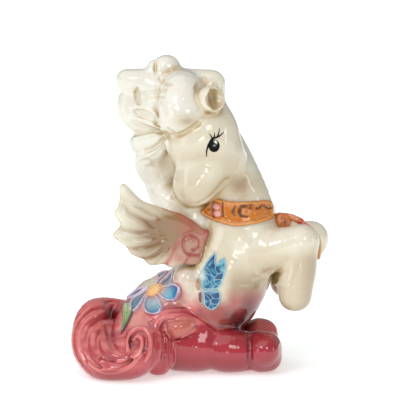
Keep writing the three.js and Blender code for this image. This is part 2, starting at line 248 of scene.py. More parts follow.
def poly2(x, y, pts):
    """Signed distance in the plane to a closed outline, negative inside."""
    d = seg2(x, y, list(pts) + [pts[0]])
    inside = np.zeros(np.shape(x), bool)
    for (ax, ay), (bx, by) in zip(pts, list(pts[1:]) + [pts[0]]):
        if ay != by:
            inside ^= ((ay > y) != (by > y)) & (x < (bx - ax) * (y - ay) / (by - ay) + ax)
    return np.where(inside, -d, d)


def round2(pts, n=5, closed=True):
    """A smooth closed outline through the given corners."""
    pts = np.asarray(pts, float)
    if not closed:
        q = catmull(np.hstack([pts, np.zeros((len(pts), 1))]), n)
        return q[:, :2]
    k = len(pts)
    out = []
    for i in range(k):
        a, b, c, d = pts[i - 1], pts[i], pts[(i + 1) % k], pts[(i + 2) % k]
        for t in np.arange(n) / n:
            out.append(.5 * (2 * b + (c - a) * t + (2 * a - 5 * b + 4 * c - d) * t * t + (3 * b - a - 3 * c + d) * t ** 3))
    return np.array(out)


# ------------------------------------------------------------------ surfaces from the fields
def box_gap(p, lo, hi):
    return np.linalg.norm(np.maximum(np.maximum(lo - p, p - hi), 0), axis=1)


def net(field, lo, hi, h):
    """A closed quad surface where field = 0, exact values only near it."""
    B = 4
    n = np.maximum(np.ceil((np.array(hi) - lo) / (B * h)).astype(int), 1) + 1
    lo = (np.array(lo) + hi) / 2 - n * B * h / 2
    c = np.stack(np.meshgrid(*[np.arange(k) for k in n], indexing="ij"), -1).reshape(-1, 3)
    g = field(lo + (c + .5) * B * h).reshape(n)
    act = np.abs(g) < B * h * 1.05 + h
    N = n * B + 1
    fa = np.zeros(N + 1, bool)
    rep = act.repeat(B, 0).repeat(B, 1).repeat(B, 2)
    mask = np.zeros(N, bool)
    for i in (0, 1):
        for j in (0, 1):
            for k in (0, 1):
                mask[i:i + N[0] - 1, j:j + N[1] - 1, k:k + N[2] - 1] |= rep
    far = g.repeat(B, 0).repeat(B, 1).repeat(B, 2)
    G = np.pad(far, ((0, 1), (0, 1), (0, 1)), mode="edge").astype(np.float32)
    idx = np.argwhere(mask)
    val = np.empty(len(idx), np.float32)
    for s in range(0, len(idx), 120000):
        val[s:s + 120000] = field(lo + idx[s:s + 120000] * h)
    G[mask] = val
    for ax in range(3):                      # the surface never runs off its grid
        s = [slice(None)] * 3
        for e in (0, -1):
            s[ax] = e
            G[tuple(s)] = np.maximum(G[tuple(s)], h)
    ins = G < 0
    cells = np.zeros(np.array(N) - 1, np.int8)
    for i in (0, 1):
        for j in (0, 1):
            for k in (0, 1):
                cells += ins[i:i + N[0] - 1, j:j + N[1] - 1, k:k + N[2] - 1]
    mixed = (cells > 0) & (cells < 8)
    cid = np.full(cells.shape, -1, np.int64)
    cc = np.argwhere(mixed)
    cid[mixed] = np.arange(len(cc))
    acc = np.zeros((len(cc), 3))
    cnt = np.zeros(len(cc))
    corner = [np.array(v) for v in np.ndindex(2, 2, 2)]
    val8 = {tuple(v): G[cc[:, 0] + v[0], cc[:, 1] + v[1], cc[:, 2] + v[2]].astype(float) for v in corner}
    for a in corner:
        for ax in range(3):
            if a[ax]:
                continue
            b = a.copy()
            b[ax] = 1
            va, vb = val8[tuple(a)], val8[tuple(b)]
            m = (va < 0) != (vb < 0)
            t = va[m] / (va[m] - vb[m])
            q = np.tile(a.astype(float), (m.sum(), 1))
            q[:, ax] = t
            acc[m] += q
            cnt[m] += 1
    pos = lo + (cc + acc / cnt[:, None]) * h
    faces = []
    for ax in range(3):
        u, w = (ax + 1) % 3, (ax + 2) % 3
        s0, s1 = [slice(None)] * 3, [slice(None)] * 3
        s0[ax], s1[ax] = slice(0, -1), slice(1, None)
        flip = ins[tuple(s0)] != ins[tuple(s1)]
        e = np.argwhere(flip)
        e = e[(e[:, u] > 0) & (e[:, w] > 0) & (e[:, u] < cells.shape[u]) & (e[:, w] < cells.shape[w])]
        first_in = ins[e[:, 0], e[:, 1], e[:, 2]]

        def at(du, dw):
            q = e.copy()
            q[:, u] += du
            q[:, w] += dw
            return cid[q[:, 0], q[:, 1], q[:, 2]]
        quad = np.stack([at(-1, -1), at(0, -1), at(0, 0), at(-1, 0)], 1)
        quad[~first_in] = quad[~first_in][:, ::-1]
        faces.append(quad)
    faces = np.vstack(faces)

    def tri(p):
        q = (p - lo) / h
        i = np.clip(q.astype(int), 0, np.array(N) - 2)
        f = q - i
        i0, i1, i2 = i.T
        f0, f1, f2 = f.T
        g00 = G[i0, i1, i2] * (1 - f0) + G[i0 + 1, i1, i2] * f0
        g10 = G[i0, i1 + 1, i2] * (1 - f0) + G[i0 + 1, i1 + 1, i2] * f0
        g01 = G[i0, i1, i2 + 1] * (1 - f0) + G[i0 + 1, i1, i2 + 1] * f0
        g11 = G[i0, i1 + 1, i2 + 1] * (1 - f0) + G[i0 + 1, i1 + 1, i2 + 1] * f0
        return (g00 * (1 - f1) + g10 * f1) * (1 - f2) + (g01 * (1 - f1) + g11 * f1) * f2
    E = np.eye(3) * h * .5
    start = pos.copy()
    for _ in range(2):
        g = np.stack([tri(pos + e) - tri(pos - e) for e in E], 1) / h
        pos = pos - np.clip(tri(pos), -h, h)[:, None] * g / np.maximum((g * g).sum(1), .3)[:, None] * .8
    pos = start + np.clip(pos - start, -h * .6, h * .6)
    return pos, faces


def vertex_normals(v, f):
    a, b, c, d = (v[f[:, i]] for i in range(4))
    n = np.cross(c - a, d - b)
    out = np.zeros_like(v)
    for i in range(4):
        np.add.at(out, f[:, i], n)
    return out / np.maximum(np.linalg.norm(out, axis=1), 1e-12)[:, None]


# ------------------------------------------------------------------ the body's members
BODY = {}          # name -> Piece, in the order in which they are joined
GROOVES = []       # (Limb, softness) pressed into the whole body
RIDGES = []        # (Limb, softness) raised from it


def raw(p, names=None, lead=None):
    """Each member's own distance at p, members too far off to matter left out."""
    near = np.full(len(p), 1e3)
    out = {}
    order = list(BODY) if names is None else names
    if lead:
        order = [lead] + [n for n in order if n != lead]
    for n in order:
        q = BODY[n]
        m = box_gap(p, q.lo, q.hi) < np.minimum(near, 40) + 3.4
        if not m.any():
            continue
        d = np.full(len(p), 1e3)
        d[m] = q(p[m])
        near = np.minimum(near, d)
        out[n] = d
    return out


def joined(p, out):
    F = np.full(len(p), 1e3)
    for n in BODY:
        if n in out:
            F = smin(F, out[n], BODY[n].join)
    for L, k in RIDGES:
        m = (box_gap(p, *L.box) < 2.5) & (np.abs(F) < 4)
        if m.any():
            F[m] = smin(F[m], L(p[m]), k)
    for L, k in GROOVES:
        m = (box_gap(p, *L.box) < 2.0) & (np.abs(F) < 4)
        if m.any():
            F[m] = smax(F[m], -L(p[m]), k)
    return smax(F, -p[:, 2], 0.9)


def whole(p):
    return joined(p, raw(p))


CAM = np.array([0, -DIST * CE, TZ + DIST * SE])
FWD, UP = np.array([0, CE, -SE]), np.array([0, SE, CE])


def trace(px, py, field=whole):
    """Where the view ray through (px, py) meets the body, and the way the surface faces there."""
    px, py = np.atleast_1d(px).astype(float), np.atleast_1d(py).astype(float)
    d = FWD * DIST + np.stack([(px - 200) / PXMM, 0 * px, 0 * px], 1) + UP * ((200 - py) / PXMM)[:, None]
    d /= np.linalg.norm(d, axis=1)[:, None]
    t = np.full(len(px), DIST - 45.0)
    best, bt = np.full(len(px), 1e9), t.copy()
    for _ in range(70):
        f = field(CAM + d * t[:, None])
        m = np.abs(f) < best
        best[m], bt[m] = np.abs(f[m]), t[m]
        t = t + np.clip(f, -3, 6) * 0.85
        t = np.minimum(t, DIST + 45)
    p = CAM + d * bt[:, None]
    g = np.stack([field(p + e) - field(p - e) for e in np.eye(3) * .15], 1)
    return p, g / np.maximum(np.linalg.norm(g, axis=1), 1e-9)[:, None]


# ------------------------------------------------------------------ members of the figure
def add(name, *prims, **kw):
    BODY[name] = Piece(list(prims), **kw)


def L(*pts, **kw):
    return Limb(*[V(*q) for q in pts], **kw)


H0 = np.array(P(203, 146, -7.5))           # middle of the head, and its own axes: down the nose, out of the forehead, to its left
psi, nod, roll = (math.radians(v) for v in (42, 80, 10))
f0 = np.array([-math.cos(psi), -math.sin(psi), 0])
l0 = np.array([math.sin(psi), -math.cos(psi), 0])
u0 = np.array([0, 0, 1.0])
HL_ = l0 * math.cos(roll) - u0 * math.sin(roll)
hu = u0 * math.cos(roll) + l0 * math.sin(roll)
HN = f0 * math.cos(nod) - hu * math.sin(nod)
HF = hu * math.cos(nod) + f0 * math.sin(nod)
HA = np.array([HN, HF, HL_])


def hp(n, f, l):
    return H0 + n * HN + f * HF + l * HL_


def HB(*pts, **kw):
    return Limb(*[list(hp(n, f, l)) + [r] for n, f, l, r in pts], **kw)


def HE(n, f, l, r):
    return Egg(hp(n, f, l), r, HA)


def E(px, py, Y, r, axes=None):
    return Egg(P(px, py, Y), r, axes)


add("torso", L((173.5, 322.5, 2, 13.8), (194.4, 307.8, 1, 12.3), (214.3, 290.3, -1, 12.6), (229, 264, -2, 12.0), (236, 241, -2.2, 10.8)),
    L((139, 313, -2, 4.6), (130.5, 325, -7.5, 4.5), (126.5, 339, -11.6, 4.2)), L((150, 318, -6, 5.0), (141, 330, -10, 5.0)), L((107, 313, 2.6, 3.4), (115, 318, 1.8, 4.4), (127, 322, 0, 5.4)), L((108, 322, 6.5, 4.0), (120, 330, 6.5, 6.0), (146, 334, 5.5, 8.0)), E(186, 281, -9.5, (3.6, 4.0, 4.6)),
    k=1.8, join=1.0, cell=.36)
add("neck", L((242.4, 228, -2.5, 9.7), (237.2, 203, -2.2, 9.0), (226.8, 170, -1, 7.9), (210.6, 138, .5, 7.6), (199.6, 112, 1, 7.4), (195.6, 97, 1.5, 7.2)),
    L((207, 106, -6, 4.0), (213, 124, -7.5, 4.8), (220, 140, -8, 4.9), (226, 158, -7, 5.1), (233, 178, -5.5, 5.6)),
    L((186, 86.5, -3.5, 4.7), (199, 85.5, -3.4, 4.25), (211, 83.6, -3.0, 3.3)), L((211.4, 85, -3.2, 3.2), (211.6, 97, -3.8, 3.2), (212.4, 110, -4.4, 3.1)), k=2.2, join=3.4, cell=.34)
add("mane_crest", L((174, 92, 3, 5.5), (158, 115, 3.5, 5.5), (153, 140, 4.2, 5.4), (159, 162, 4.2, 5.2), (170, 184, 2, 5.2), (186, 206, 1, 6),
                    strands=8, depth=.62, twist=.10, fade=(3, 4)), L((165, 146, -3.0, 2.6), (163, 163, -1.9, 4.6), (160, 178, -.6, 4.0)), k=1.0, join=1.6, cell=.3)
add("withers_lock", L((153, 184, 0, 2.2), (163, 195, -3, 3.7), (178, 209, -5, 4.6), (192, 220, -6, 4.8)), join=1.6, cell=.28)
add("head", HE(-3.4, .9, 0, (8.6, 8.5, 8.5)), HB((0, 3.5, 0, 6.4)), HB((3, -1.5, 3.1, 6.1)), HB((3, -1.5, -3.1, 6.1)),
    L((194.5, 144.6, -9.8, 5.7), (193.5, 157, -9.9, 4.7), (194, 169, -10.6, 4.6), (195, 184, -10.8, 5.0)), E(194.3, 184, -10.0, (5.5, 5.4, 5.6), HA), HB((3, -4, 0, 5.5), (10, -1.5, 0, 4.8)),
    L((217, 155, -8.8, 5.7), (208, 170, -10.3, 5.5), (200, 180, -10.6, 5.0)), E(213.5, 146, -13.0, (3.6, 2.9, 3.9)), k=2.0, join=3.2, cell=.26)
add("mane_crown_roll", L((178, 83, -1, 4.3), (158, 83, -2.5, 4.0), (139, 82, -3, 3.5), (127.5, 80.3, -2.5, 3.0)),
    L((147, 85, -3.5, 2.6), (161, 85.5, -4.2, 2.9), (172, 85, -4.5, 3.0)), k=1.0, join=1.1, cell=.26)
add("mane_upper_lock", L((139, 88, -1.5, 2.8), (130.5, 97, -2, 2.9), (128.8, 107, -2.5, 3.0), (134, 117, -3, 3.1), (144, 123.5, -3, 3.0), (155, 127.5, -3, 2.7), (164, 131, -3.5, 2.0)),
    L((148, 90, -1.4, 4.4), (148, 104, -1.4, 4.8), (148, 117, -1.6, 4.7)), L((158, 90, -3.4, 4.4), (158, 104, -4.2, 4.5), (158, 118, -4.6, 4.4)), k=1.6, join=1.4, cell=.24)
add("mane_middle_lock", L((167, 131.5, -6.4, 2.2), (157, 137, -5.6, 3.3), (146.5, 141.5, -4.0, 3.6), (140.5, 143.5, -3.2, 2.8)), k=.5, join=.8, cell=.24)
add("mane_lower_lock", L((168.5, 136.5, -7.2, 1.6), (161, 146.5, -6.2, 2.3), (152.5, 153.5, -5.0, 2.8), (146, 159, -3.4, 2.9), (147.5, 168, -2.4, 3.1), (156, 178, -1.3, 3.3)), join=.8, cell=.24)
add("forelock", L((184, 87, -5.0, 4.6), (181.5, 94, -8.4, 5.9), (180.5, 107, -10.6, 5.9), (179, 117, -11.8, 4.6)), L((175.5, 119, -12.4, 3.8), (184, 116.5, -13.2, 4.2), (192, 110, -12.6, 3.6)),
    L((167, 124, -9.8, 2.2), (170.5, 137, -9.6, 1.9), (172, 149, -9.2, 1.3), (174.5, 158, -9, .8)), k=1.2, join=1.1, cell=.24)
add("ear_right", E(166.5, 69, -2.5, (3.8, 3.3, 3.75)), L((152.5, 69.5, -3.5, 1.6), (154, 65.5, -3.0, 1.5)), k=.4, join=1.1, cell=.24,
    cuts=[(Egg(P(168, 67, .9), (2.2, 1.6, 2.4)), .6)])
add("ear_left", E(210.6, 99.6, -13.2, (3.75, 3.6, 3.65)), L((203.5, 107, -12.4, 2.3), (208, 112, -12, 2.2)), k=1.0, join=.8, cell=.2,
    cuts=[(Egg(P(217.9, 99.8, -17.3), (3.2, 4.3, 2.8)), .35)])
add("foreleg_right", L((244, 257, -5, 6.4), (266, 252, -8.6, 5.9), (284, 246.4, -10.4, 5.1), (302, 241.4, -11, 4.3)),
    L((302.3, 241.4, -11, 4.05), (301.2, 257, -11, 4.25), (299, 271, -11, 4.55), (295.6, 285.5, -11, 4.7), (295, 294.6, -11, 4.45)), k=1.5, join=2.6, cell=.3)
add("foreleg_left", L((250, 240, 4, 7.0), (278, 240, 5, 5.8), (298, 239, 5.5, 4.8), (311, 238.5, 6, 4.4)),
    L((311, 238.5, 6, 4.3), (303, 252, 6, 4.5), (292.5, 268, 5.5, 4.6), (286, 281, 5, 4.4)), k=1.5, join=2.4, cell=.32)
add("hind_leg_right", L((182, 342, -7.5, 8.0), (196, 344.4, -8.6, 7.4), (207, 346.6, -9.1, 6.2), (215, 348, -9.4, 5.8), (227, 350, -9.7, 6.1), (241, 351.2, -9.6, 5.5), (249.5, 351.5, -9.5, 4.8), (256, 351.5, -9.8, 4.7), (262, 351.2, -10, 4.75)),
    L((265.8, 344.8, -10, 3.3), (265.8, 357.8, -10, 3.4)), L((264.5, 350.5, -6.6, 4.1), (264.5, 350.5, -13, 3.8)),
    L((151, 330, -12.6, 2.0), (158.5, 321.8, -12.6, 2.4), (170, 318, -12.5, 2.6), (183, 318.4, -12.2, 2.6), (196, 323.5, -11.9, 2.4), (209, 332, -11.9, 1.8)),
    L((262, 347, -9.5, 4.3), (269.6, 345, -9.4, 2.2)), L((262, 355, -9.5, 4.1), (269.6, 356, -9.4, 2.3)), L((262, 360.6, -10, 2.5), (269.8, 360.6, -10, 2.3)),
    k=1.8, join=1.6, cell=.3)
add("hind_leg_left", L((190, 332, 8, 8.6), (215, 337, 8, 6.8), (240, 339, 6.5, 5.4), (248, 339, 6, 4.9), (257, 338, 5, 4.9)),
    L((263.6, 331.6, 5.4, 3.4), (266.2, 345, 5.4, 3.6)), L((259, 333, 4.5, 3.7), (267.6, 332.6, 4.2, 2.4)), L((190, 345, 8, 6), (259, 346, 5.5, 4.6)), k=1.4, join=1.8, cell=.34)
add("haunch_curl", L((174.2, 328.6, -14.9, 2.45), (178.4, 328.4, -15.3, 2.5), (184, 326.2, -14.9, 2.3), (188.4, 324.8, -14.4, 2.0)), join=.45, cell=.2)
add("tail_root_lock", L((157, 327, -12, 2.9), (160, 340, -14, 3.5), (160, 356, -14.5, 3.9), (158, 361, -14, 3.9)), join=.9, cell=.26)
COIL = [(125, 305.5, 3, 1.4), (113, 304.8, 1.5, 1.9), (101.5, 308, -1, 2.9), (93.5, 317, -5, 4.4), (90.6, 333, -9, 5.1), (93.3, 348, -13, 5.6), (104, 358.3, -16, 5.9), (119, 359.6, -18, 5.7), (135, 356.5, -18.5, 5.5),
        (146, 347.5, -18.6, 4.3), (145.5, 338.5, -18.6, 3.2), (139.5, 334.5, -18.6, 2.4), (132.5, 337, -18.6, 1.9)]
coil = L(*COIL)
COIL_HAIR = L(*COIL, strands=7, depth=.4, twist=.06, phase=.5)


def hair_behind(p, d):
    """The tail's strands on the side the reference view doesn't reach."""
    far_side = (p - np.array([0, 0, TZ])) @ FWD
    m = (np.abs(d) < 1.2) & (far_side > -2)
    if m.any():
        d[m] += .34 * COIL_HAIR.groove(p[m]) * smooth(far_side[m], -2, 2.5)
    return d


add("tail_swirl", coil, L((104, 336, -5, 5.0), (110, 340, -7.5, 5.4), (131, 346, -12, 6.2)), E(136, 343, -17.4, (3.2, 3.0, 3.0)), join=1.1, k=.7, cell=.24, extra=hair_behind)
# wings: plates fanned into feathers, a scroll at the root
TH = math.radians(25)
WO = np.array([0.79, -10.5, 0])
WT = np.array([-math.cos(TH), -math.sin(TH), 0])


WN = np.cross(WT, (0, 0, 1.0))


def camber(u, w):
    """How far the plate's middle line lies behind its plane: dished where the feathers fan out."""
    return 1.5 * np.exp(-((u - 11.5) / 6.5) ** 2) - .012 * np.clip(u - 14, 0, 99) ** 2


def wing_at(px, py):
    """Where on the near wing's plane the view shows (px, py)."""
    Y = WO[1]
    for _ in range(30):
        X, _, Z = P(px, py, Y)
        u = (np.array([X, Y, 0]) - WO)[:2] @ WT[:2]
        q = WO + WT * u + WN * camber(u, Z)
        Y = Y + .7 * (q[1] + (X - q[0]) * WT[1] / WT[0] - Y)
    return (u, Z)


def wing_line(*pts, n=5):
    return round2([wing_at(*q) for q in pts], n, closed=False)


WING_EDGE = round2([wing_at(*q) for q in (
    (207.2, 230.5), (207.3, 235), (205, 242), (203.5, 250), (200, 262), (191.5, 265), (182.5, 264), (171, 267.6), (163.5, 264.3), (154, 265.6), (148.5, 264.6), (143.5, 260), (137, 257.4), (130, 253.5), (126, 247.5),
    (121, 243), (113.5, 238), (112.6, 234), (117.5, 228.5), (120.2, 223.5), (115.6, 217.5), (114.4, 211), (118, 206), (119.4, 196), (120, 185.6), (124, 183.6), (128, 186), (136.5, 195), (144, 201),
    (158, 205.8), (171.5, 210.8), (180, 213.2), (190, 218.3), (200, 226.7))], 3)
CREASES = [wing_line(*c) for c in (
    ((115, 204.5), (123, 205), (128.3, 211.7), (136, 216), (146.7, 221.7), (155, 227.5), (164, 233)),
    ((115, 226.5), (125, 229), (140, 232.3), (151.7, 232.6), (163, 234)),
    ((122, 248.5), (129, 247.7), (140, 247), (150, 244.4), (158, 240.8), (165, 236.5)),
    ((138, 260.5), (143, 258.5), (154, 254.5), (162, 247.5), (167, 241)))]
FAINT = [wing_line(*c) for c in (((121, 197), (130, 203), (143, 209), (156, 217)), ((114, 238), (128, 238.5), (143, 238.2), (157, 237)), ((153, 266), (158, 259), (165, 249.5), (169, 243)))]
SCROLL = wing_line((197.5, 254.2), (190.5, 253.8), (184.5, 252), (181, 246.5), (181.2, 240), (184, 236), (188.3, 234.4), (193.5, 236), (197, 240), (196.8, 245), (193.8, 248.6), (190, 249))
STEM = wing_line((188.5, 254.4), (186, 257), (184, 262), (183, 268))
LEAD = wing_line((163, 206.8), (171.7, 210.5), (181, 213.5), (190, 218.2), (198.5, 225.5), (206, 231))
ROOT = wing_line((206.8, 230), (206.5, 236), (204, 243.5))
STRIPE = wing_line((175, 243), (173.5, 251), (171, 258), (165, 265.5))

step = .1
gx, gy = np.meshgrid(np.arange(-3, 28, step), np.arange(27.5, 55.5, step), indexing="ij")
edge = poly2(gx, gy, WING_EDGE.tolist())
crease = np.min([seg2(gx, gy, c) for c in CREASES], 0)
faint = np.min([seg2(gx, gy, c) for c in FAINT], 0)
fan = smooth(gx, 8.0, 11.5)
lobe = 1 - np.exp(-(crease / 1.15) ** 1.25)
lobe = lobe * fan + (1 - fan)
lobe2 = 1 - .35 * np.exp(-(faint / .8) ** 1.5) * fan
taper = np.clip(-edge / 2.2, 0, 1) ** .5
scroll, stem, lead, stripe, root = (seg2(gx, gy, c) for c in (SCROLL, STEM, LEAD, STRIPE, ROOT))
c0 = wing_at(189, 242.5)
curl = np.hypot(gx - c0[0], gy - c0[1])
relief = (1.5 - .25 * smooth(gx, 4, 24)) * (.40 + .60 * taper) * (.55 + .45 * lobe) * lobe2
face = relief + .42 * np.exp(-(curl / 1.05) ** 4) - .34 * np.exp(-(scroll / .34) ** 2) - .26 * np.exp(-(stem / .34) ** 2) + .20 * np.exp(-(lead / .55) ** 2) \
    + .25 * np.exp(-(root / .55) ** 2) - .34 * np.exp(-(stripe / .55) ** 2) + .16 * np.exp(-((scroll - .75) / .35) ** 2)
mid = camber(gx, gy)
MAPS = {"edge": edge, "mid": mid, "pos": relief, "neg": face, "crease": crease, "faint": faint, "scroll": scroll, "stem": stem, "lead": lead, "stripe": stripe, "curl": curl,
        "root": root, "span": (-3.6, 4.0)}


class Wing(Sheet):
    def __call__(self, p):
        x, y, n = self.uw(p)
        n = (n - self.look("mid", x, y)) * self.side
        t = np.where(n > 0, self.look("pos", x, y), self.look("neg", x, y))
        return smax(self.look("edge", x, y), np.abs(n) - t, 1.0)


near = Wing(WO, WT, (0, 0, 1), (-3, 27.5), (27.8, 55.3), step, MAPS)
near.side = 1
m15 = np.array([math.sin(math.radians(15)), math.cos(math.radians(15)), 0])
far = Wing((5.934, 8.699, 0), WT - 2 * (WT @ m15) * m15, (0, 0, 1), (-3, 27.5), (27.8, 55.3), step, dict(MAPS, mid=-mid, span=(-4.0, 3.6)))
far.side = -1
add("wing_right", near, join=1.0, cell=.22)
add("wing_left", far, join=1.0, cell=.26)


# lines pressed into the body and raised from it, laid out in the reference view
LINES = []


def press(*pts, r=.5, k=.5, lift=0.0, n=4):
    LINES.append((GROOVES, pts, r, k, lift, n))


def raise_(*pts, r=.5, k=.7, lift=0.0, n=4):
    LINES.append((RIDGES, pts, r, k, lift, n))


def strokes(todo, field=whole):
    """Thin members laid along the surface under lines of view points, all found together."""
    q = [round2(pts, n, closed=False) for pts, r, lift, n in todo]
    allq = np.vstack(q)
    p, g = trace(allq[:, 0], allq[:, 1], field)
    out, at = [], 0
    for (pts, r, lift, n), k in zip(todo, q):
        a, b = p[at:at + len(k)], g[at:at + len(k)]
        at += len(k)
        rr = np.interp(np.linspace(0, 1, len(k)), np.linspace(0, 1, len(r)), r) if isinstance(r, (list, tuple)) else np.full(len(k), float(r))
        limb = Limb(*np.hstack([a + b * lift, rr[:, None]]).tolist(), sub=1)
        limb.box = limb.lohi()
        out.append(limb)
    return out


def along(limb, phi, a, b, r, off=0.0, n=26):
    """A line that runs along a member at one side of it."""
    s = np.linspace(a, b, n) * (len(limb.q) - 1)
    i = np.clip(s.astype(int), 0, len(limb.q) - 2)
    t = (s - i)[:, None]
    q = limb.q[i] * (1 - t) + limb.q[i + 1] * t
    N = limb.N[i] * (1 - t) + limb.N[i + 1] * t
    Bv = limb.B[i] * (1 - t) + limb.B[i + 1] * t
    p = q[:, :3] + (N * math.cos(phi) + Bv * math.sin(phi)) * (q[:, 3:] + off)
    rr = r * np.clip(np.minimum(np.linspace(0, 5, n), np.linspace(5, 0, n)), .25, 1)
    k = Limb(*np.hstack([p, rr[:, None]]).tolist(), sub=1)
    k.box = k.lohi()
    return k


# mane: the ribbon of hair that loops over the upper lock, and the folds between the locks
raise_((131.5, 108.5), (139, 106.8), (147.5, 108), (153.5, 112), (158.5, 119), (163.5, 128), r=[.35, .6, .7, .65, .6, .4], k=.7, lift=.05)
raise_((131.5, 116.5), (142, 119.8), (153, 124.5), (164, 129.8), r=[.3, .5, .5, .35], k=.6, lift=.05)
press((136, 111.6), (144, 112.4), (150.5, 115.2), (155, 120), (159.5, 126.5), r=[.25, .45, .5, .4, .25], k=.9, lift=.15)
press((140.5, 115), (146, 115.6), (150.5, 118), r=[.4, .7, .4], k=.9, lift=.35)
press((133, 122.5), (143, 126.5), (153, 129.4), (162, 131.8), r=[.25, .4, .4, .25], k=.9)
press((137.4, 88.6), (137, 94), (137.8, 100), (140, 105.2), r=[.35, .85, .75, .3], k=.4, lift=-.1)
press((143, 94), (150, 92.6), (158, 91.6), (165, 89.5), r=.34, k=.9)
press((146, 97.3), (155, 97.6), (163, 96.8), r=.22, k=.6)
press((133.5, 135.6), (144, 132.6), (155, 131.6), (165, 132), r=[.2, .3, .3, .2], k=.8)
raise_((134.5, 138.4), (145, 136.8), (154.5, 133.8), (164, 132.3), r=[.3, .45, .45, .3], k=.6, lift=.05)
press((166.6, 135.5), (161, 142.5), (153.5, 148.5), (146, 151), r=[.25, .36, .36, .25], k=.8)
raise_((168.6, 135.5), (160, 146), (151.5, 153.8), (143, 158), r=[.25, .4, .45, .3], k=.5, lift=.05)
press((140, 162), (149, 160.5), (154, 166), (160, 176.5), r=[.25, .35, .4, .4], k=.7)
# the hollow of the ear
press((213.2, 88), (212.2, 93), (212, 98.5), (213.2, 104), (215.2, 109), r=[.4, .95, 1.15, .95, .45], k=.7, lift=.15)
# crown and forelock
press((155.4, 62.5), (155.2, 68), (155.8, 74), r=[.2, .36, .2], k=.4)
press((160, 78.5), (165, 83), (171, 84.5), r=[.15, .24, .15], k=.9)
press((205, 79.5), (200, 83.5), (196.5, 89), r=[.2, .42, .25], k=1.4, lift=.25)
press((166.8, 131.5), (169.6, 140), (171.4, 150), (173.5, 160), r=.26, k=.6)
press((168.5, 129.3), (178, 134.8), (188.5, 130), (199, 123.6), r=.36, k=.8)
press((171.9, 197), (173.8, 198.8), r=.3, k=.4)
# throat and elbow
press((225.5, 181.5), (217, 191), (208.5, 199.2), (199, 204), r=.45, k=1.2)
press((252, 279), (261, 276.6), (270, 272.6), r=.26, k=.8)
press((240, 285.4), (248, 285.8), r=.2, k=.6)
raise_((277, 284.5), (283, 285), (289, 287), r=.3, k=1.2, lift=-.15)
# hind leg: the fetlock line above the hoof
press((249.2, 336), (249.8, 347), (249.6, 358), (249.2, 368), r=.38, k=.9)
# haunch: the fold round the nub, and the deep crease below it
press((165.6, 324), (166.6, 331), (171, 338.2), (180, 337.6), (189, 332.6), (196.5, 326.6), r=.40, k=.6)
press((170.2, 337), (171, 346), (170.6, 357), (171, 367), r=[.25, .5, .5, .4], k=.8)
press((161.5, 331), (164.2, 322.6), (171, 320), (183, 319.6), (192, 320.8), r=.26, k=.7)
press((150.5, 322.5), (160, 314.6), (171, 311.2), (184, 311.4), (196, 315), (207, 322), (215, 328.6), r=.26, k=1.1)
# strands that leave the haunch for the tail
press((155.4, 334), (156.6, 345), (154.4, 356), (151, 365), r=[.2, .34, .34, .25], k=.9)
press((163.4, 333), (164.6, 346), (163.4, 358), (162.6, 368), r=[.2, .34, .34, .25], k=.9)
raise_((159.4, 333), (160.4, 346), (158.4, 360), r=[.2, .3, .25], k=.8, lift=.05)
# tail: broad strands sweep from the hollow round to the spiral
raise_((93, 305.5), (84.6, 312.6), (77.4, 322.5), (74.2, 334), (74.2, 346), (77.4, 357), (82, 364.5), r=[.25, .4, .44, .44, .44, .4, .25], k=.7, lift=.12)
press((99, 308.5), (90.4, 312.4), (82.8, 319.4), (77.6, 329), (75.8, 341), (77.6, 353), (82.8, 364), (90.6, 372.4), r=[.2, .42, .48, .5, .5, .48, .42, .25], k=.8)
raise_((103.4, 312), (95, 315.4), (87, 321.4), (81, 330), (78.8, 341), (80.4, 352.5), (86, 363.4), r=[.2, .42, .48, .50, .50, .46, .3], k=.7, lift=.14)
press((107.6, 318.6), (98.6, 321.4), (91, 327.6), (87, 336.6), (86.8, 347), (89.6, 356.4), (94.6, 363.4), (100.4, 367.4), r=[.25, .46, .52, .54, .54, .48, .34, .12], k=.9)
raise_((89.6, 362.6), (97, 368.2), (106.4, 371), (117.6, 370.4), (129.4, 365.6), (138.6, 356.4), (143.4, 346), r=[.3, .5, .58, .6, .58, .5, .35], k=.6, lift=.16)
press((101.6, 359.6), (110.6, 365), (120, 365.4), (128, 362), (132, 359.4), r=[.2, .38, .4, .28, .12], k=.9)
press((100.6, 331), (97.4, 340.4), (98.8, 350.4), (105.4, 358), (114.4, 361.2), r=[.2, .36, .4, .36, .2], k=.9)
press((112.4, 321), (110.2, 328), (109.6, 336), (111.8, 344.4), (116.6, 350.4), (124, 354), r=[.2, .5, .6, .6, .5, .25], k=1.1)
# the spiral's own turns
raise_((127.6, 351), (127.4, 342), (130.4, 333.4), (137, 328.2), (144.4, 328.8), (149, 334.6), (150.6, 343.5), (149, 353), (145, 361), r=[.3, .42, .46, .46, .46, .46, .46, .42, .3], k=.5, lift=.1)
press((130.6, 348.5), (131, 341), (133.6, 335), (138.6, 331.8), (144, 334.2), (146, 340.4), (144.8, 347.6), (141, 352.4), (137, 355), r=[.2, .3, .34, .34, .34, .34, .32, .22, .1], k=.5)
raise_((129.4, 353.4), (130.4, 346), (132.4, 339.6), (136.6, 336.6), (141, 339), (142, 344.6), (140, 351), (134.6, 357), (126.4, 361), (116.6, 362), (107.4, 359), (100.6, 352.6), r=[.2, .34, .38, .38, .38, .38, .38, .38, .36, .34, .24, .1], k=.5, lift=.03)
press((134, 350), (137.6, 347.6), (138.4, 343.2), (136, 340.4), (133.6, 343), (134.6, 346.4), r=.30, k=.4)
for limb, k in zip(strokes([(pts, r, lift, n) for dst, pts, r, k, lift, n in LINES]), LINES):
    k[0].append((limb, k[3]))
def proj(p):
    z = p[:, 2] - TZ
    depth = DIST + p[:, 1] * CE - z * SE
    return 200 + PXMM * p[:, 0] * DIST / depth, 200 - PXMM * DIST * (p[:, 1] * SE + z * CE) / depth


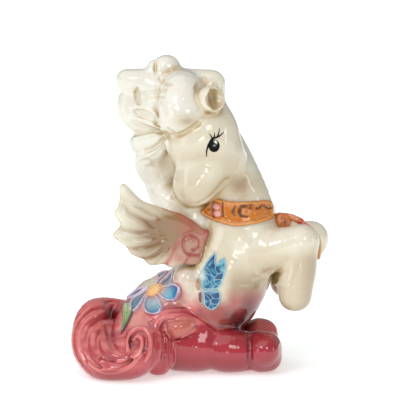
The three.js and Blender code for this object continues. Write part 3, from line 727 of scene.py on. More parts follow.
# ------------------------------------------------------------------ what lies on the body
def unit(v):
    v = np.array(v, float)
    return v / np.linalg.norm(v)


class Relief:
    """A moulded ornament: an outline on the surface, raised by a height that varies over it."""

    def __init__(self, c, along, normal, outline, height, host=whole, soft=.3, sink=.55):
        self.c = np.array(c, float)
        self.n = unit(normal)
        a = np.array(along, float)
        self.a = unit(a - self.n * (a @ self.n))
        self.b = np.cross(self.n, self.a)
        self.outline, self.height, self.host, self.soft, self.sink = outline, height, host, soft, sink

    def ab(self, p):
        q = p - self.c
        return q @ self.a, q @ self.b

    def __call__(self, p):
        a, b = self.ab(p)
        h = self.host(p)
        far = np.abs((p - self.c) @ self.n) - 3.2
        return np.maximum(np.maximum(smax(self.outline(a, b), h - self.height(a, b), self.soft), -(h + self.sink)), far)


def chart(poly, step=.07, pad=1.6):
    """Distance to a closed outline, tabled once over its own plane."""
    q = np.array(poly)
    x0, y0 = q.min(0) - pad
    nx, ny = np.ceil((np.ptp(q, axis=0) + 2 * pad) / step).astype(int) + 2
    X, Y = np.meshgrid(x0 + np.arange(nx) * step, y0 + np.arange(ny) * step, indexing="ij")
    M = poly2(X, Y, q.tolist())

    def look(x, y):
        fx, fy = np.clip((x - x0) / step, 0, nx - 1.001), np.clip((y - y0) / step, 0, ny - 1.001)
        i, j = fx.astype(int), fy.astype(int)
        gap = np.hypot(x - x0 - fx * step, y - y0 - fy * step)
        fx, fy = fx - i, fy - j
        return (M[i, j] * (1 - fx) + M[i + 1, j] * fx) * (1 - fy) + (M[i, j + 1] * (1 - fx) + M[i + 1, j + 1] * fx) * fy + gap
    return look


OVER = {}          # name -> (field, low corner, high corner, cell)
CENTRE = np.array([-12.54, -6.11, 22.09])
PETALS = [((-8.92, -9.06, 21.88), (.81, -.58, -.06), (-.5, -.75, .43)), ((-12.12, -8.91, 18.45), (.14, -.52, -.84), (-.47, -.78, .41)),
          ((-15.73, -6.05, 18.62), (-.67, .02, -.74), (-.6, -.59, .53)), ((-16.9, -2.2, 20.0), (-.74, .36, -.57), (-.60, -.20, .77)),
          ((-10.7, -1.2, 24.3), (.32, .84, .44), (-.50, -.25, .83)), ((-9.08, -5.91, 25.28), (.74, .04, .67), (-.56, -.5, .66))]
SEEN = {1: [(154, 289.5), (159.5, 286.3), (166, 285.3), (172, 284.6), (177, 284.4), (180.3, 288.5), (180.6, 294), (178.3, 299), (172.5, 301.8), (166.5, 301), (161.5, 298), (157, 293.6)],
        2: [(153.5, 290.5), (156.3, 294.5), (160.2, 299.5), (162.8, 305.5), (161.4, 311.3), (156.6, 314.6), (150.5, 314.8), (145.3, 312), (143.4, 306.5), (144.6, 300.5), (148, 295), (151, 291.5)],
        3: [(151.5, 289), (148.5, 294), (144.8, 299.5), (141.3, 305), (137.5, 309.8), (133.3, 312.2), (130.2, 309.6), (129.9, 304.6), (132.2, 299.8), (137, 295.6), (143, 292.2), (147.5, 289.6)],
        6: [(156, 287.6), (160, 283), (164.6, 278.8), (169.4, 274.6), (173.6, 271.4), (176.4, 271), (176.8, 273.6), (175, 278), (171.6, 282.4), (165.8, 286), (159.8, 288.4)]}
DROP = [(-4.2, .5), (-3.4, .8), (-2.0, 1.45), (-.4, 2.1), (1.2, 2.35), (2.4, 2.0), (3.2, 1.1), (3.45, 0)]
DROP = round2(DROP + [(a, -b) for a, b in DROP[-2::-1]], 3)
TURNED = [(-4.2, .3), (-3.2, .4), (-2.0, .55), (-.6, .95), (.8, 1.5), (2.0, 1.6), (3.0, 1.0), (3.4, 0)]
UPPER = [(-4.1, .5), (-2.6, 1.5), (-.9, 2.15), (.8, 2.2), (2.3, 1.5), (3.2, .3), (3.2, -1.1), (2.4, -2.1), (1.0, -2.6), (-.6, -2.2), (-2.2, -1.2), (-3.5, -.4)]
TURNED = round2(TURNED + [(a, -b) for a, b in TURNED[-2::-1]], 3)


def petal_height(d):
    return .22 + .44 * np.exp(-((d - .36) / .27) ** 2) + .05 * smooth(d, .8, 1.6)


for i, (c, a, n) in enumerate(PETALS):
    c = np.array(c)
    hidden = i in (3, 4)
    r = Relief(c, a if hidden else c - CENTRE, n, None, None)
    poly = DROP * (.96, .78) if i == 3 else TURNED if i == 4 else DROP
    if i + 1 in SEEN:
        q = np.array(SEEN[i + 1])
        at, _ = trace(q[:, 0], q[:, 1])
        poly = round2(UPPER if i == 5 else np.stack(r.ab(at), 1).tolist(), 4)
    r.outline = chart(poly)
    r.height = lambda a, b, r=r: petal_height(-r.outline(a, b))
    size = np.abs(poly).max() + 1.0
    OVER["flower_petal_%d" % (i + 1)] = (r, r.c - size, r.c + size, .12)
disc = Relief(CENTRE, (.78, .0, .60), (-.59, -.56, .59),
              lambda a, b: np.hypot(a / 1.24, b / 1.02) - 2.05 + .12 * np.cos(7 * np.arctan2(b, a)),
              lambda a, b: 1.05 - .08 * (a * a + b * b) + .09 * np.cos(5.2 * a + .8) * np.cos(5.2 * b), soft=.5, sink=.5)
OVER["flower_centre"] = (disc, disc.c - 3.4, disc.c + 3.4, .11)


class Drawn:
    """A relief whose outline is laid out in the reference view, on the side that faces it."""

    def __init__(self, outline, height, host=whole, soft=.25, sink=.5, ymax=0.0):
        self.outline, self.height, self.host, self.soft, self.sink, self.ymax = outline, height, host, soft, sink, ymax

    def __call__(self, p):
        x, y = proj(p)
        h = self.host(p)
        o = self.outline(x, y) / PXMM
        return np.maximum(np.maximum(smax(o, h - self.height(x, y), self.soft), -(h + self.sink)), p[:, 1] - self.ymax)


def around(pts, Y0, Y1, pad=1.2):
    c = np.array([P(x, y, Y) for x, y in pts for Y in (Y0, Y1)])
    return c.min(0) - pad, c.max(0) + pad


LEAF = round2([(124.5, 303.4), (129.5, 302.8), (133.2, 306.5), (132.8, 312), (130, 318.5), (126.5, 325.5), (122.6, 331), (120.2, 333.6), (121.2, 327), (122.4, 319.5), (122.2, 312), (122.4, 306.5)], 4)
LEAF_MID = round2([(127.6, 303.5), (127.6, 312), (125.8, 321), (121.8, 331.5)], 6, closed=False)
leaf_out = chart(LEAF, .25, 6)
leaf = Drawn(leaf_out, lambda x, y: .30 + .38 * np.exp(-((-leaf_out(x, y) - 1.2) / .9) ** 2) - .16 * np.exp(-(seg2(x, y, LEAF_MID) / .6) ** 2)
             + .06 * np.cos(1.5 * y + 1.2 * np.abs(x - 126)), ymax=1.5)
OVER["leaf"] = (leaf, *around(LEAF, -16, 0, 1.0), .12)

FORE = round2([(199.2, 276.5), (201.8, 270), (204.8, 264.3), (208, 259.2), (211.4, 255.4), (214.6, 252.2), (216.2, 255.5), (215.7, 260.5), (216.6, 264.4), (219.2, 260.6), (222.3, 258.2), (224.4, 256.8), (225.7, 262),
               (226, 269), (224.6, 275), (222.6, 281), (220, 286.6), (215.2, 289.8), (209.5, 290), (204.5, 289.6), (201.5, 288), (201.3, 282), (200, 279.5)], 4).tolist()
HIND = round2([(202.6, 290.4), (207, 290.6), (212.5, 291.2), (218, 290.4), (220.8, 294), (220.6, 299.5), (219, 304.8), (215.3, 308.8), (211.5, 310.3), (206.6, 308), (203.6, 303.8), (203.2, 298), (202.6, 294)], 4).tolist()
BUG1 = [(195, 283.4), (195.6, 279.5), (197.6, 278), (199.6, 280.4), (200.6, 285), (200.4, 289.5), (198.6, 290.8), (196.4, 288.4)]
BUG2 = [(198.4, 292.6), (200.4, 291.4), (202, 293.6), (202.4, 298.5), (201.8, 302.8), (200.2, 303.8), (198.6, 301.2), (197.9, 296.8)]
FVEIN = [((200, 277), (204, 273.5), (209.5, 274.5), (214.6, 277.8)), ((201, 280), (206, 277), (208.5, 281), (212.4, 283.6), (213.4, 288)), ((204.5, 266.5), (208.4, 269.6), (213, 276.4)),
         ((216.6, 264), (215.2, 268.5), (217.4, 274.2), (214.6, 277.8), (215, 283.5), (219.6, 286)), ((217.4, 274.2), (221, 273), (225, 273.8)), ((215, 280), (219, 279.6), (222.8, 280))]
HVEIN = [((203, 291), (208, 293.8), (213.5, 293.4), (219, 291.5)), ((203, 293), (207.5, 296.5), (210, 300), (209.6, 305.5), (207.5, 308)), ((209.4, 294), (212.2, 297.5), (211, 302), (214.6, 304.5), (219.4, 303)),
         ((212.2, 297.5), (216, 299), (220.6, 297.5)), ((203.3, 299.5), (206.8, 301.4), (210, 300)), ((210, 303), (213.5, 307), (213, 310))]
fore_out, hind_out = chart(FORE, .2, 5), chart(HIND, .2, 5)
bug_out1, bug_out2 = chart(round2(BUG1, 4), .12, 4), chart(round2(BUG2, 4), .12, 4)
fvein, hvein = ([round2(v, 4, closed=False) for v in q] for q in (FVEIN, HVEIN))


def vein_lines(x, y, out, veins, w=1.0):
    """1 along the raised lines between the wing's cells."""
    d = -out(x, y)
    v = np.min([seg2(x, y, q) for q in veins], 0)
    return np.maximum(np.exp(-((d - w) / .85) ** 2), .92 * np.exp(-(v / .62) ** 2))


def wing_height(out, veins):
    return lambda x, y: .26 + .30 * vein_lines(x, y, out, veins)


OVER["butterfly_forewing"] = (Drawn(fore_out, wing_height(fore_out, fvein), ymax=-6), *around(FORE, -15.5, -11), .12)
OVER["butterfly_hindwing"] = (Drawn(hind_out, wing_height(hind_out, hvein), ymax=-6), *around(HIND, -16, -12.5), .12)
both = lambda x, y: np.minimum(bug_out1(x, y), bug_out2(x, y))
OVER["butterfly_body"] = (Drawn(lambda x, y: smin(bug_out1(x, y), bug_out2(x, y), 2.4) - .5, lambda x, y: .34 + .34 * smooth(-both(x, y), -.2, 1.6), ymax=-6, soft=.35), *around(BUG1 + BUG2, -15.5, -11.5), .10)

# the eye is a low dome of dark enamel, and its lashes are raised lines
EYE_IN, _ = trace([214], [145.5])


def eye_out(x, y):
    return (np.sqrt(((x - 214.1) / 5.7) ** 2 + ((y - 145.8) / 6.4) ** 2) - 1) * 5.8


OVER["eye_left"] = (Drawn(eye_out, lambda x, y: .10 + .18 * np.clip(1 - ((x - 214.1) / 5.9) ** 2 - ((y - 145.8) / 6.6) ** 2, 0, 1), sink=.3, soft=.16), *around([(207, 138), (221, 154)], float(EYE_IN[0, 1]) - 2.5, float(EYE_IN[0, 1]) + 2.5, .6), .1)
LASHES = [([(206.4, 156.2), (206.7, 151), (208.4, 145.2), (212.4, 138.8), (216.5, 137.4), (220, 135.6), (223.6, 132.2)], (.12, .19, .26, .30, .24, .17, .09)),
          ([(211.9, 139.4), (211.2, 136.2), (208.8, 133.4)], (.19, .15, .07)),
          ([(213.9, 138.4), (214.4, 135.6), (214.5, 132.2)], (.19, .15, .07)),
          ([(216.6, 137.6), (218.6, 133.6), (219.4, 128.3)], (.20, .16, .07))]


def mirror(p):
    q = (p - H0) @ HA.T
    q[:, 2] *= -1
    return H0 + q @ HA


class Lines:
    def __init__(self, limbs):
        self.limbs = limbs

    def __call__(self, p):
        return np.min([q(p) for q in self.limbs], 0)


lash = strokes([(p, list(r), .02, 5) for p, r in LASHES])
lo = np.min([q.box[0] for q in lash], 0) - .3
hi = np.max([q.box[1] for q in lash], 0) + .3
OVER["lashes_left"] = (Lines(lash), lo, hi, .085)


def settle(p, field=whole):
    """The nearest points of the surface."""
    p = np.array(p, float)
    for _ in range(6):
        f = field(p)
        g = np.stack([field(p + e) - field(p - e) for e in np.eye(3) * .1], 1) / .2
        p = p - (np.clip(f, -1, 1) / np.maximum((g * g).sum(1), .2))[:, None] * g
    return p


lash2 = []
for q in lash:
    p = settle(mirror(q.q[:, :3]))
    k = Limb(*np.hstack([p, q.q[:, 3:]]).tolist(), sub=1)
    k.box = k.lohi()
    lash2.append(k)
OVER["lashes_right"] = (Lines(lash2), np.min([q.box[0] for q in lash2], 0) - .3, np.max([q.box[1] for q in lash2], 0) + .3, .10)


class Mirrored(Drawn):
    def __call__(self, p):
        x, y = proj(mirror(p))
        h = self.host(p)
        o = self.outline(x, y) / PXMM
        return np.maximum(smax(o, h - self.height(x, y), self.soft), -(h + self.sink))


far_eye = settle(mirror(EYE_IN))[0]
OVER["eye_right"] = (Mirrored(eye_out, OVER["eye_left"][0].height, sink=.3, soft=.16), far_eye - 2.9, far_eye + 2.9, .12)

# collar: a strap round the root of the neck, with raised edges and small ornaments
CC, CN = np.array([10.05, -2, 41.6]), unit([.068, .19, .98])
CU = np.array([.9976, 0, -.0695])
CU = unit(CU - CN * (CU @ CN))
CV = np.cross(CN, CU)
STRAP = chart(round2([(200.3, 212), (204.5, 207), (209, 202), (213.8, 197.4), (219, 199), (229, 201.2), (243, 201.5), (257, 200.7), (270.5, 200.2), (274.4, 206), (276.2, 213), (272.6, 218.6), (264, 222),
                      (254, 224.2), (243, 225.8), (232, 225.9), (222, 223.6), (213, 220.6), (206, 217)], 4), .4, 12)


def throat(p):
    return joined(p, raw(p, ["torso", "neck", "mane_crest", "withers_lock"]))


class Collar:
    marks = ()

    def edge(self, p):
        """Distance to the strap's edges, from its outline in the view on the near side and as a plain band round the back."""
        q = p - CC
        x, y, v = q @ CU, q @ CV, q @ CN
        px, py = proj(p)
        front = STRAP(px, py) / PXMM
        H = np.interp(x, [-16, -9, 20], [2.2, 3.0, 3.2])
        back = np.abs(v) - H
        w = smooth(-y, -1.0, 3.0)
        return np.maximum(front * w + back * (1 - w), np.minimum(px - 274.8, 214.2 - py) / PXMM)

    def __call__(self, p):
        g = throat(p)
        e = self.edge(p)
        rim = np.exp(-((e + .62) / .34) ** 2)
        d = g - (.72 + .36 * rim)
        for limb, k, sign in self.marks:
            m = box_gap(p, *limb.box) < 1.2
            if m.any():
                d[m] = smin(d[m], limb(p[m]), k) if sign > 0 else smax(d[m], -limb(p[m]), k)
        return np.maximum(smax(d, e, .4), -(g + .7))


collar = Collar()
MARKS = [(((235.2, 206.4), (232.9, 211), (234.8, 216)), [.18, .42, .18], -1, .05), (((247.5, 205.8), (242, 206.6), (239.6, 211), (241, 215.4), (247.5, 216.6)), [.24, .4, .46, .4, .24], -1, .05),
         (((245.4, 209), (244, 212.4), (248, 213.4), (251.5, 210.4)), .34, 1, -.05), (((250, 205), (252, 208)), .26, -1, .08), (((252.3, 205), (249.8, 208)), .26, -1, .08),
         (((212.8, 200), (212.6, 208), (213.6, 217.6)), .26, -1, .1), (((222.3, 203), (222.6, 209), (223, 216)), .26, -1, .1), (((256.5, 208.4), (259.5, 207.4), (261.5, 205.6)), .28, -1, .05),
         (((255.5, 213), (260, 210.5), (266, 211.5)), .3, 1, 0), (((257, 217.4), (261.5, 214.6), (268, 215.6)), .28, 1, 0), (((264, 205.5), (268, 208), (272, 207.5)), .28, -1, .05), (((208.6, 211.3), (209.8, 211.3)), .5, 1, 0),
         (((222.6, 218.6), (224, 218.8)), .6, 1, 0), (((268.5, 203.5), (270.5, 203.8)), .34, 1, 0)]
cut = strokes([(pts, r, lift, 4) for pts, r, sign, lift in MARKS], field=collar)
collar.marks = [(limb, .22, m[2]) for limb, m in zip(cut, MARKS)]
OVER["collar"] = (collar, CC - (17.5, 17.5, 6.8), CC + (17.5, 17.5, 6.8), .2)
bead_at, bead_n = trace([218.3, 219.0], [206.3, 213.7], throat)
for name, c, n in zip(("collar_bead_upper", "collar_bead_lower"), bead_at, bead_n):
    a = unit(np.cross((0, 0, 1.0), n))
    e = Egg(c + n * .85, (1.15, .92, .66), (a, np.cross(n, a), n))
    OVER[name] = (e, c + n * .85 - 1.8, c + n * .85 + 1.8, .10)
knot = Piece([L((279.5, 218.5, -4.2, 1.6), (282.6, 221.2, -5.6, 2.1), (285.2, 222, -5.8, 1.8)), E(286.8, 218.2, -5.2, (1.1, 1.5, 1.3)), L((278.6, 222.4, -4.6, 1.1), (279.4, 226, -4.8, 1.0)),
              E(279.5, 216.3, -4.8, (.9, .9, .9))], k=.5)
knot.cuts = [(L((281.4, 215, -6.6, .34), (282.4, 221, -7.9, .34), (281.4, 228, -7.6, .34)), .3), (L((285.2, 215.5, -7.1, .3), (286.2, 221.5, -7.8, .34), (284.8, 228.5, -7.6, .3)), .3),
             (L((283.2, 219, -7.8, .24), (283.8, 223, -8.1, .24)), .25)]
OVER["bow_knot"] = (knot, knot.lo - .8, knot.hi + .8, .14)
rib = Piece([L((283, 215.6, -5.0, .78), (289, 216.4, -5.4, .80), (295, 218.6, -5.8, .86), (300.4, 221.4, -5.8, .90)),
             L((301, 221.7, -5.6, .76), (305.5, 224.7, -5.0, .58), (311.2, 228.7, -4.0, .53), (315.8, 233.8, -3.6, .51), (318.8, 240, -3.2, .52), (319.6, 248, -3, .52), (318.4, 257.4, -2.8, .58))], k=.35)
rib.cuts = [(L((286, 217.2, -6.3, .2), (292, 218.4, -6.7, .22), (299, 221.8, -7.0, .2)), .25)]
OVER["ribbon"] = (rib, rib.lo - .8, rib.hi + .8, .14)
# ------------------------------------------------------------------ paint, carried by the vertices
Z_CREAM, Z_ROSE = P(230, 288, -12)[2], P(230, 315, -12)[2]
ROSE = {"torso": None, "hind_leg_right": 1, "hind_leg_left": 1, "haunch_curl": 1, "tail_root_lock": 1, "tail_swirl": 1}
SHOWN = {"wing_right": near, "wing_left": far}


def ball(p, c, r):
    return np.exp(-(((p - np.array(c)) / r) ** 2).sum(1))


def wobble(p, s):
    """A slow, fixed unevenness, so that no painted edge is ruled."""
    return (np.sin(p[:, 0] * 1.3 / s + 1.7 * np.sin(p[:, 2] * .9 / s)) + np.sin(p[:, 1] * 1.1 / s + p[:, 2] * 1.7 / s) + np.sin(p[:, 2] * 2.3 / s - p[:, 0] * .8 / s)) / 3


def dot(x, y, cx, cy, rx, ry=None):
    return np.exp(-((x - cx) / rx) ** 2 - ((y - cy) / (ry or rx)) ** 2)


HALO = {i: chart(round2(SEEN[i], 3), .4, 14) for i in SEEN}


WING_LEAD = round2([(178, 242.5), (174.5, 250), (170.5, 257.5), (165, 265.5)], 4, closed=False)
WING_TOP = round2([(163, 210), (175, 213.5), (186, 219), (196, 226.5), (203.5, 232.5)], 4, closed=False)


def paint(name, p, n):
    """What the glaze does at each vertex: where it pools, thins and changes colour, and the light and shade painted
    into it: painted shade in hollows, creases, under overhangs and on shaded sides, painted highlights on lit ridges
    and tops.
    """
    out = {}
    near_f = whole(p + n * .5)
    mid_f = whole(p + n * 1.6)
    wide_f = whole(p + n * 4.0)
    under = whole(p - n * .7)
    # How deep the vertex lies in a hollow, sampled 0.5, 1.6 and 4 mm out: it stands both for glaze pooling there and
    # for painted shade where the hollow is occluded.
    glaze_pool_and_shade = .50 * np.clip((.5 - near_f) / .5, 0, 1) + .42 * np.clip((1.6 - mid_f) / 1.6, 0, 1) + .40 * np.clip((4 - wide_f) / 4, 0, 1)
    x, y = proj(p)
    front = smooth(-n[:, 1], -.15, .35)
    # How thin the body is just under the surface: rims and ridges, where the glaze thins and breaks paler. Below,
    # painted highlights are added to it on lit ridges and sides.
    out["edge"] = np.clip((under + .7) / .7 * 1.6 - .12, 0, 1)
    zero = np.zeros(len(p))
    if name in SHOWN:
        w = SHOWN[name]
        u, v, k = w.uw(p)
        outer = (k - w.look("mid", u, v)) * w.side < 0
        lines = .95 * np.exp(-(w.look("scroll", u, v) / .56) ** 2) + .9 * np.exp(-(w.look("stem", u, v) / .56) ** 2) + .95 * np.exp(-(w.look("lead", u, v) / .62) ** 2) \
            + .8 * np.exp(-(w.look("root", u, v) / .6) ** 2)
        band = .5 * np.exp(-(w.look("stripe", u, v) / .75) ** 2) * smooth(-v, -38.5, -34.5)
        inner = dot(x, y, 189, 244, 5.2)
        top = np.exp(-(seg2(x, y, WING_TOP) / 3.4) ** 2) * smooth(x, 166, 184)
        lead = np.exp(-(seg2(x, y, WING_LEAD) / 3.1) ** 2)
        field_ = np.max([.52 * smooth(x, 168, 190), .56 * top, .70 * dot(x, y, 179, 258, 8, 8), .82 * smooth(x, 198, 205) * smooth(y, 223, 234), .8 * lead], 0)
        shown = outer & (name == "wing_right")
        field_ = np.where(shown, field_ * (1 - .50 * inner), .5 * smooth(-u, -10.0, -5.4))
        b = np.clip(np.maximum(field_, np.maximum(lines, band) * outer), 0, 1)
        out["blush"] = b
        out["edge"] = out["edge"] * .3
        out["dark"] = np.clip(.16 * lines * outer, 0, 1)
        # Painted shade over the wing's fan, darkest in its middle and leaving the tips cream; partly a greige tint of
        # the glaze. The far wing gets the same by its own plane.
        px_shade = .85 * dot(x, y, 160, 232, 21, 16) + .62 * dot(x, y, 176, 224, 15, 13) + .38 * dot(x, y, 172, 246, 8, 9) + .30 * dot(x, y, 150, 254, 22, 10) + .16 * dot(x, y, 148, 207, 20, 8) + .35 * smooth(x, 116, 140) \
            + .42 * smooth(x, 170, 190)
        # Painted shade in the feather creases and along the faint lines, added to the shade above.
        out["shade"] = np.clip(.35 * np.exp(-(w.look("crease", u, v) / .6) ** 2) * smooth(u, 7.5, 11) + np.where(shown, px_shade, .5 * smooth(-u, -19, -9) + .2 * smooth(-u, -9, -4)) + .12 * np.exp(-(w.look("faint", u, v) / .5) ** 2), 0, 1)
    else:
        z = p[:, 2] + 1.1 * wobble(p, 1.6) + .4 * wobble(p, .55)
        b = smooth(-z, -Z_CREAM, -Z_ROSE)
        dark, shade = zero, zero
        if name == "torso":
            lump = (dot(x, y, 187, 277, 9, 21) + .5 * dot(x, y, 181, 269, 9, 7)) * front
            b = b * (1 - .85 * np.clip(lump * 1.5, 0, 1)) + .13 * np.clip(lump, 0, 1) * (1 + .35 * wobble(p, .5))
            # Rose round the petals' outlines, partly painted contact shadow of their rims.
            halo = np.max([np.exp(-(np.maximum(f(x, y), 0) / 3.2)) for f in HALO.values()], 0) * smooth(x, 150, 176) * smooth(y, 270, 284) * front
            b = np.maximum(b, .85 * halo)
            # Painted shade: maroon in the creases where the belly meets the legs and along the belly's right side. The
            # pin mask is the painted shade of a small hole below the wing root.
            dark = np.clip(.60 * ball(p, P(250, 324, -6), (6.0, 8, 4.2)) + .40 * ball(p, P(240, 314, -9), (5, 7, 3.6)) + (.50 * dot(x, y, 222, 328, 9, 3.6) + .42 * dot(x, y, 248, 304, 8, 10) + .32 * dot(x, y, 232, 317, 9, 6)) * front, 0, 1)
            pin = dot(x, y, 194.5, 264.5, 1.3) * front
            # Painted shade on the right side of the chest and belly; tan_low is a dusty tan on the lower belly, partly
            # painted shade where it turns under. The mask after it is a painted highlight: the lit right edge of the
            # belly, with less shade and paler rose there.
            shade = np.clip((.62 * smooth(x, 219, 236) * smooth(y, 250, 292) * smooth(-x, -266, -250) + .36 * smooth(x, 250, 264) * smooth(y, 258, 278)) * front, 0, 1)
            tan_low = dot(x, y, 219, 316, 13, 12) * front
            painted_light_belly = dot(x, y, 241, 309, 12, 15) * front
            b = np.maximum(b * (1 - .22 * np.clip(1.6 * tan_low, 0, 1)), .85 * smooth(x, 219, 234) * smooth(y, 284, 303) * front)
            shade = np.clip(np.maximum(shade, .62 * np.clip(1.5 * tan_low, 0, 1)) - .5 * painted_light_belly, 0, 1)
            # Painted highlight on the rump strip: paler rose, less rose and less pooled shade there.
            out["edge"] = np.clip(out["edge"] + .85 * np.clip(1.6 * dot(x, y, 140, 320, 17, 19), 0, 1) * front + .35 * painted_light_belly, 0, 1)
            glaze_pool_and_shade = glaze_pool_and_shade * (1 - .45 * np.clip(1.6 * dot(x, y, 142, 320, 20, 20), 0, 1) * front)
            b = b * (1 - .24 * np.clip(1.3 * dot(x, y, 134, 322, 15, 14), 0, 1) * front)
            # A tan tint over the cream, kept out of the hollows: partly painted shade.
            shade = np.clip(shade + .30 * (1 - smooth(glaze_pool_and_shade, .1, .5)), 0, 1)
            pale = np.clip(1.5 * dot(x, y, 184, 284, 9, 20) + 1.1 * dot(x, y, 190, 306, 7, 8), 0, 1) * front
            shade = shade * (1 - .9 * pale)
            glaze_pool_and_shade = glaze_pool_and_shade * (1 - .5 * pale)
            out["edge"] = np.clip(out["edge"] + .55 * np.clip(1.4 * dot(x, y, 186, 304, 12, 9), 0, 1) * front, 0, 1)
            b = np.clip(np.maximum(b + .13 * pale, .42 * np.clip(1.5 * dot(x, y, 183, 309, 13, 6.5), 0, 1) * front), 0, 1)
            dark = np.maximum(dark, pin)
            b = np.maximum(b, pin)
        if name.startswith("hind_leg"):
            # Painted shade: a band at the stifle, the crease where the belly meets the near leg, and the fetlock line.
            dark = np.clip(.25 * dot(x, y, 209, 337, 3, 8) + .8 * ball(p, P(246, 328, -7), (5.0, 6, 2.6)) + .35 * ball(p, P(262, 341, -10), (5.5, 6, 1.0)), 0, 1)
        if name == "neck":
            # A tan tint, partly painted shade, less on the neck's right edge; painted shadow of the jaw on the throat,
            # and painted shade behind the ear.
            shade = .34 * (1 - smooth(glaze_pool_and_shade, .1, .5)) * smooth(y, 78, 100) * (1 - .6 * smooth(x, 243, 252)) + (.60 * dot(x, y, 240, 185, 24, 14) + .20 * dot(x, y, 222, 116, 8, 16)) * front
        if name == "forelock":
            # Painted shade under the forelock's overhang and beside the ear.
            shade = .75 * dot(x, y, 187, 121, 13, 6.5) * front + .25 * dot(x, y, 199, 108, 4, 10)
        if name == "ear_left":
            # Painted shade in the ear's hollow, darkest left of its middle, painted shadow below the ear, and a light
            # tan over all of it.
            inside = smooth(glaze_pool_and_shade, .05, .3) * smooth(x, 205, 208.5) * smooth(y, 84, 87)
            shade = np.clip(inside * (.30 + .34 * dot(x, y, 211, 98, 4.0, 9)) * (y < 111) + .75 * dot(x, y, 208, 113.5, 7, 3.4) + .20, 0, 1)
        if name == "head":
            # A tan tint kept out of the hollows, partly painted shade; painted shadow under the ear and forelock;
            # painted shade under the muzzle, in a band below the eye and over the cheek toward the jaw.
            shade = .31 * (1 - smooth(glaze_pool_and_shade, .15, .6)) + (.45 * dot(x, y, 208, 114.5, 9, 3.2) + .24 * smooth(y, 166, 192) * smooth(-y, -204, -194) + .22 * dot(x, y, 203, 156, 26, 9) + .26 * smooth(x, 205, 230) * smooth(y, 146, 170)) * front
        # Painted shade on downward-facing surfaces in the head's height band.
        shade = np.clip(shade + .22 * smooth(-n[:, 2], .15, .95) * smooth(y, 95, 150), 0, 1)
        # Less pooled shade low in the pocket, and painted shade in the pocket between mane and face, in the slit of the
        # upper lock and in the hollow behind the ear.
        if name in ("mane_crest", "neck", "mane_crown_roll"):
            glaze_pool_and_shade = glaze_pool_and_shade * (1 - .55 * np.clip(1.4 * dot(x, y, 170, 178, 8, 14), 0, 1) * front)
            shade = np.maximum(shade, np.clip(.74 * dot(x, y, 162, 163, 9.5, 12) + .5 * dot(x, y, 136, 96, 3, 9) + .55 * dot(x, y, 199, 86, 7, 6), 0, 1) * front)
        if name.startswith("mane") or name == "withers_lock":
            glaze_pool_and_shade = glaze_pool_and_shade * .58
        # Grooves darken as pooled glaze and painted shade. Paler rose on ridges where the glaze thins, and painted
        # highlights: on upward-facing surfaces, over the left side and along the big lower ridge. Painted shade in the
        # hollow against the rump and in the crease beside it; darker towards the bottom.
        if name in ("tail_swirl", "tail_root_lock"):
            glaze_pool_and_shade = .80 * np.clip((.5 - near_f) / .5, 0, 1) + .22 * np.clip((1.6 - mid_f) / 1.6, 0, 1)
            top = smooth(n[:, 2] + .25 * wobble(p, .9), .45, 1.0)
            out["edge"] = np.clip(.14 + .46 * smooth(out["edge"], .40, 1.0) + .36 * top + .14 * smooth(-x, -98, -72) * front + .25 * dot(x, y, 120, 366, 26, 5) * front, 0, 1)
            dark = np.clip(.62 * dot(x, y, 110, 313, 7, 6) * front + .45 * dot(x, y, 111, 336, 4, 14) * front + .34 * smooth(y, 366, 382) * front, 0, 1)
        # Painted highlight along the far leg's upper part, with less pooled shade and less dark.
        if name == "hind_leg_left":
            out["edge"] = np.clip(out["edge"] + .75 * front * smooth(-y, -342, -318), 0, 1)
            glaze_pool_and_shade = glaze_pool_and_shade * .8
            dark = dark * .7
        # Painted shade on the forelegs, more lower down and over the knee, less on the leg's left edge, kept out of the
        # hollows.
        if name.startswith("foreleg"):
            shade = np.clip(shade + (.20 + .34 * smooth(y, 244, 262) + .2 * smooth(x, 292, 312) * smooth(y, 240, 250) - .2 * dot(x, y, 284, 274, 8, 12)) * (1 - smooth(glaze_pool_and_shade, .1, .5)), 0, 1)
        # Painted highlight along the haunch ridge and the leg's top, less pooled shade over the haunch and below the
        # nub, and darker towards the bottom.
        if name == "hind_leg_right":
            out["edge"] = np.clip(out["edge"] + (.7 * dot(x, y, 160, 318, 20, 9) + .55 * dot(x, y, 200, 321, 11, 3.4)) * front, 0, 1)
            glaze_pool_and_shade = glaze_pool_and_shade * (1 - .5 * np.clip(1.5 * dot(x, y, 182, 328, 17, 12), 0, 1))
            glaze_pool_and_shade = glaze_pool_and_shade * (1 - .7 * np.clip(1.5 * dot(x, y, 174, 338, 7, 7), 0, 1) * front)
            dark = np.clip(dark - .1 + (.10 + .34 * smooth(y, 350, 368)) * front, 0, 1)
        if name == "haunch_curl":
            glaze_pool_and_shade = glaze_pool_and_shade * .55
        fixed = ROSE.get(name, 0)
        out["blush"] = b if fixed is None else np.full(len(p), float(fixed))
        out["dark"], out["shade"] = dark, shade
    out["glaze_pool_and_shade"] = np.clip(glaze_pool_and_shade, 0, 1)
    return out


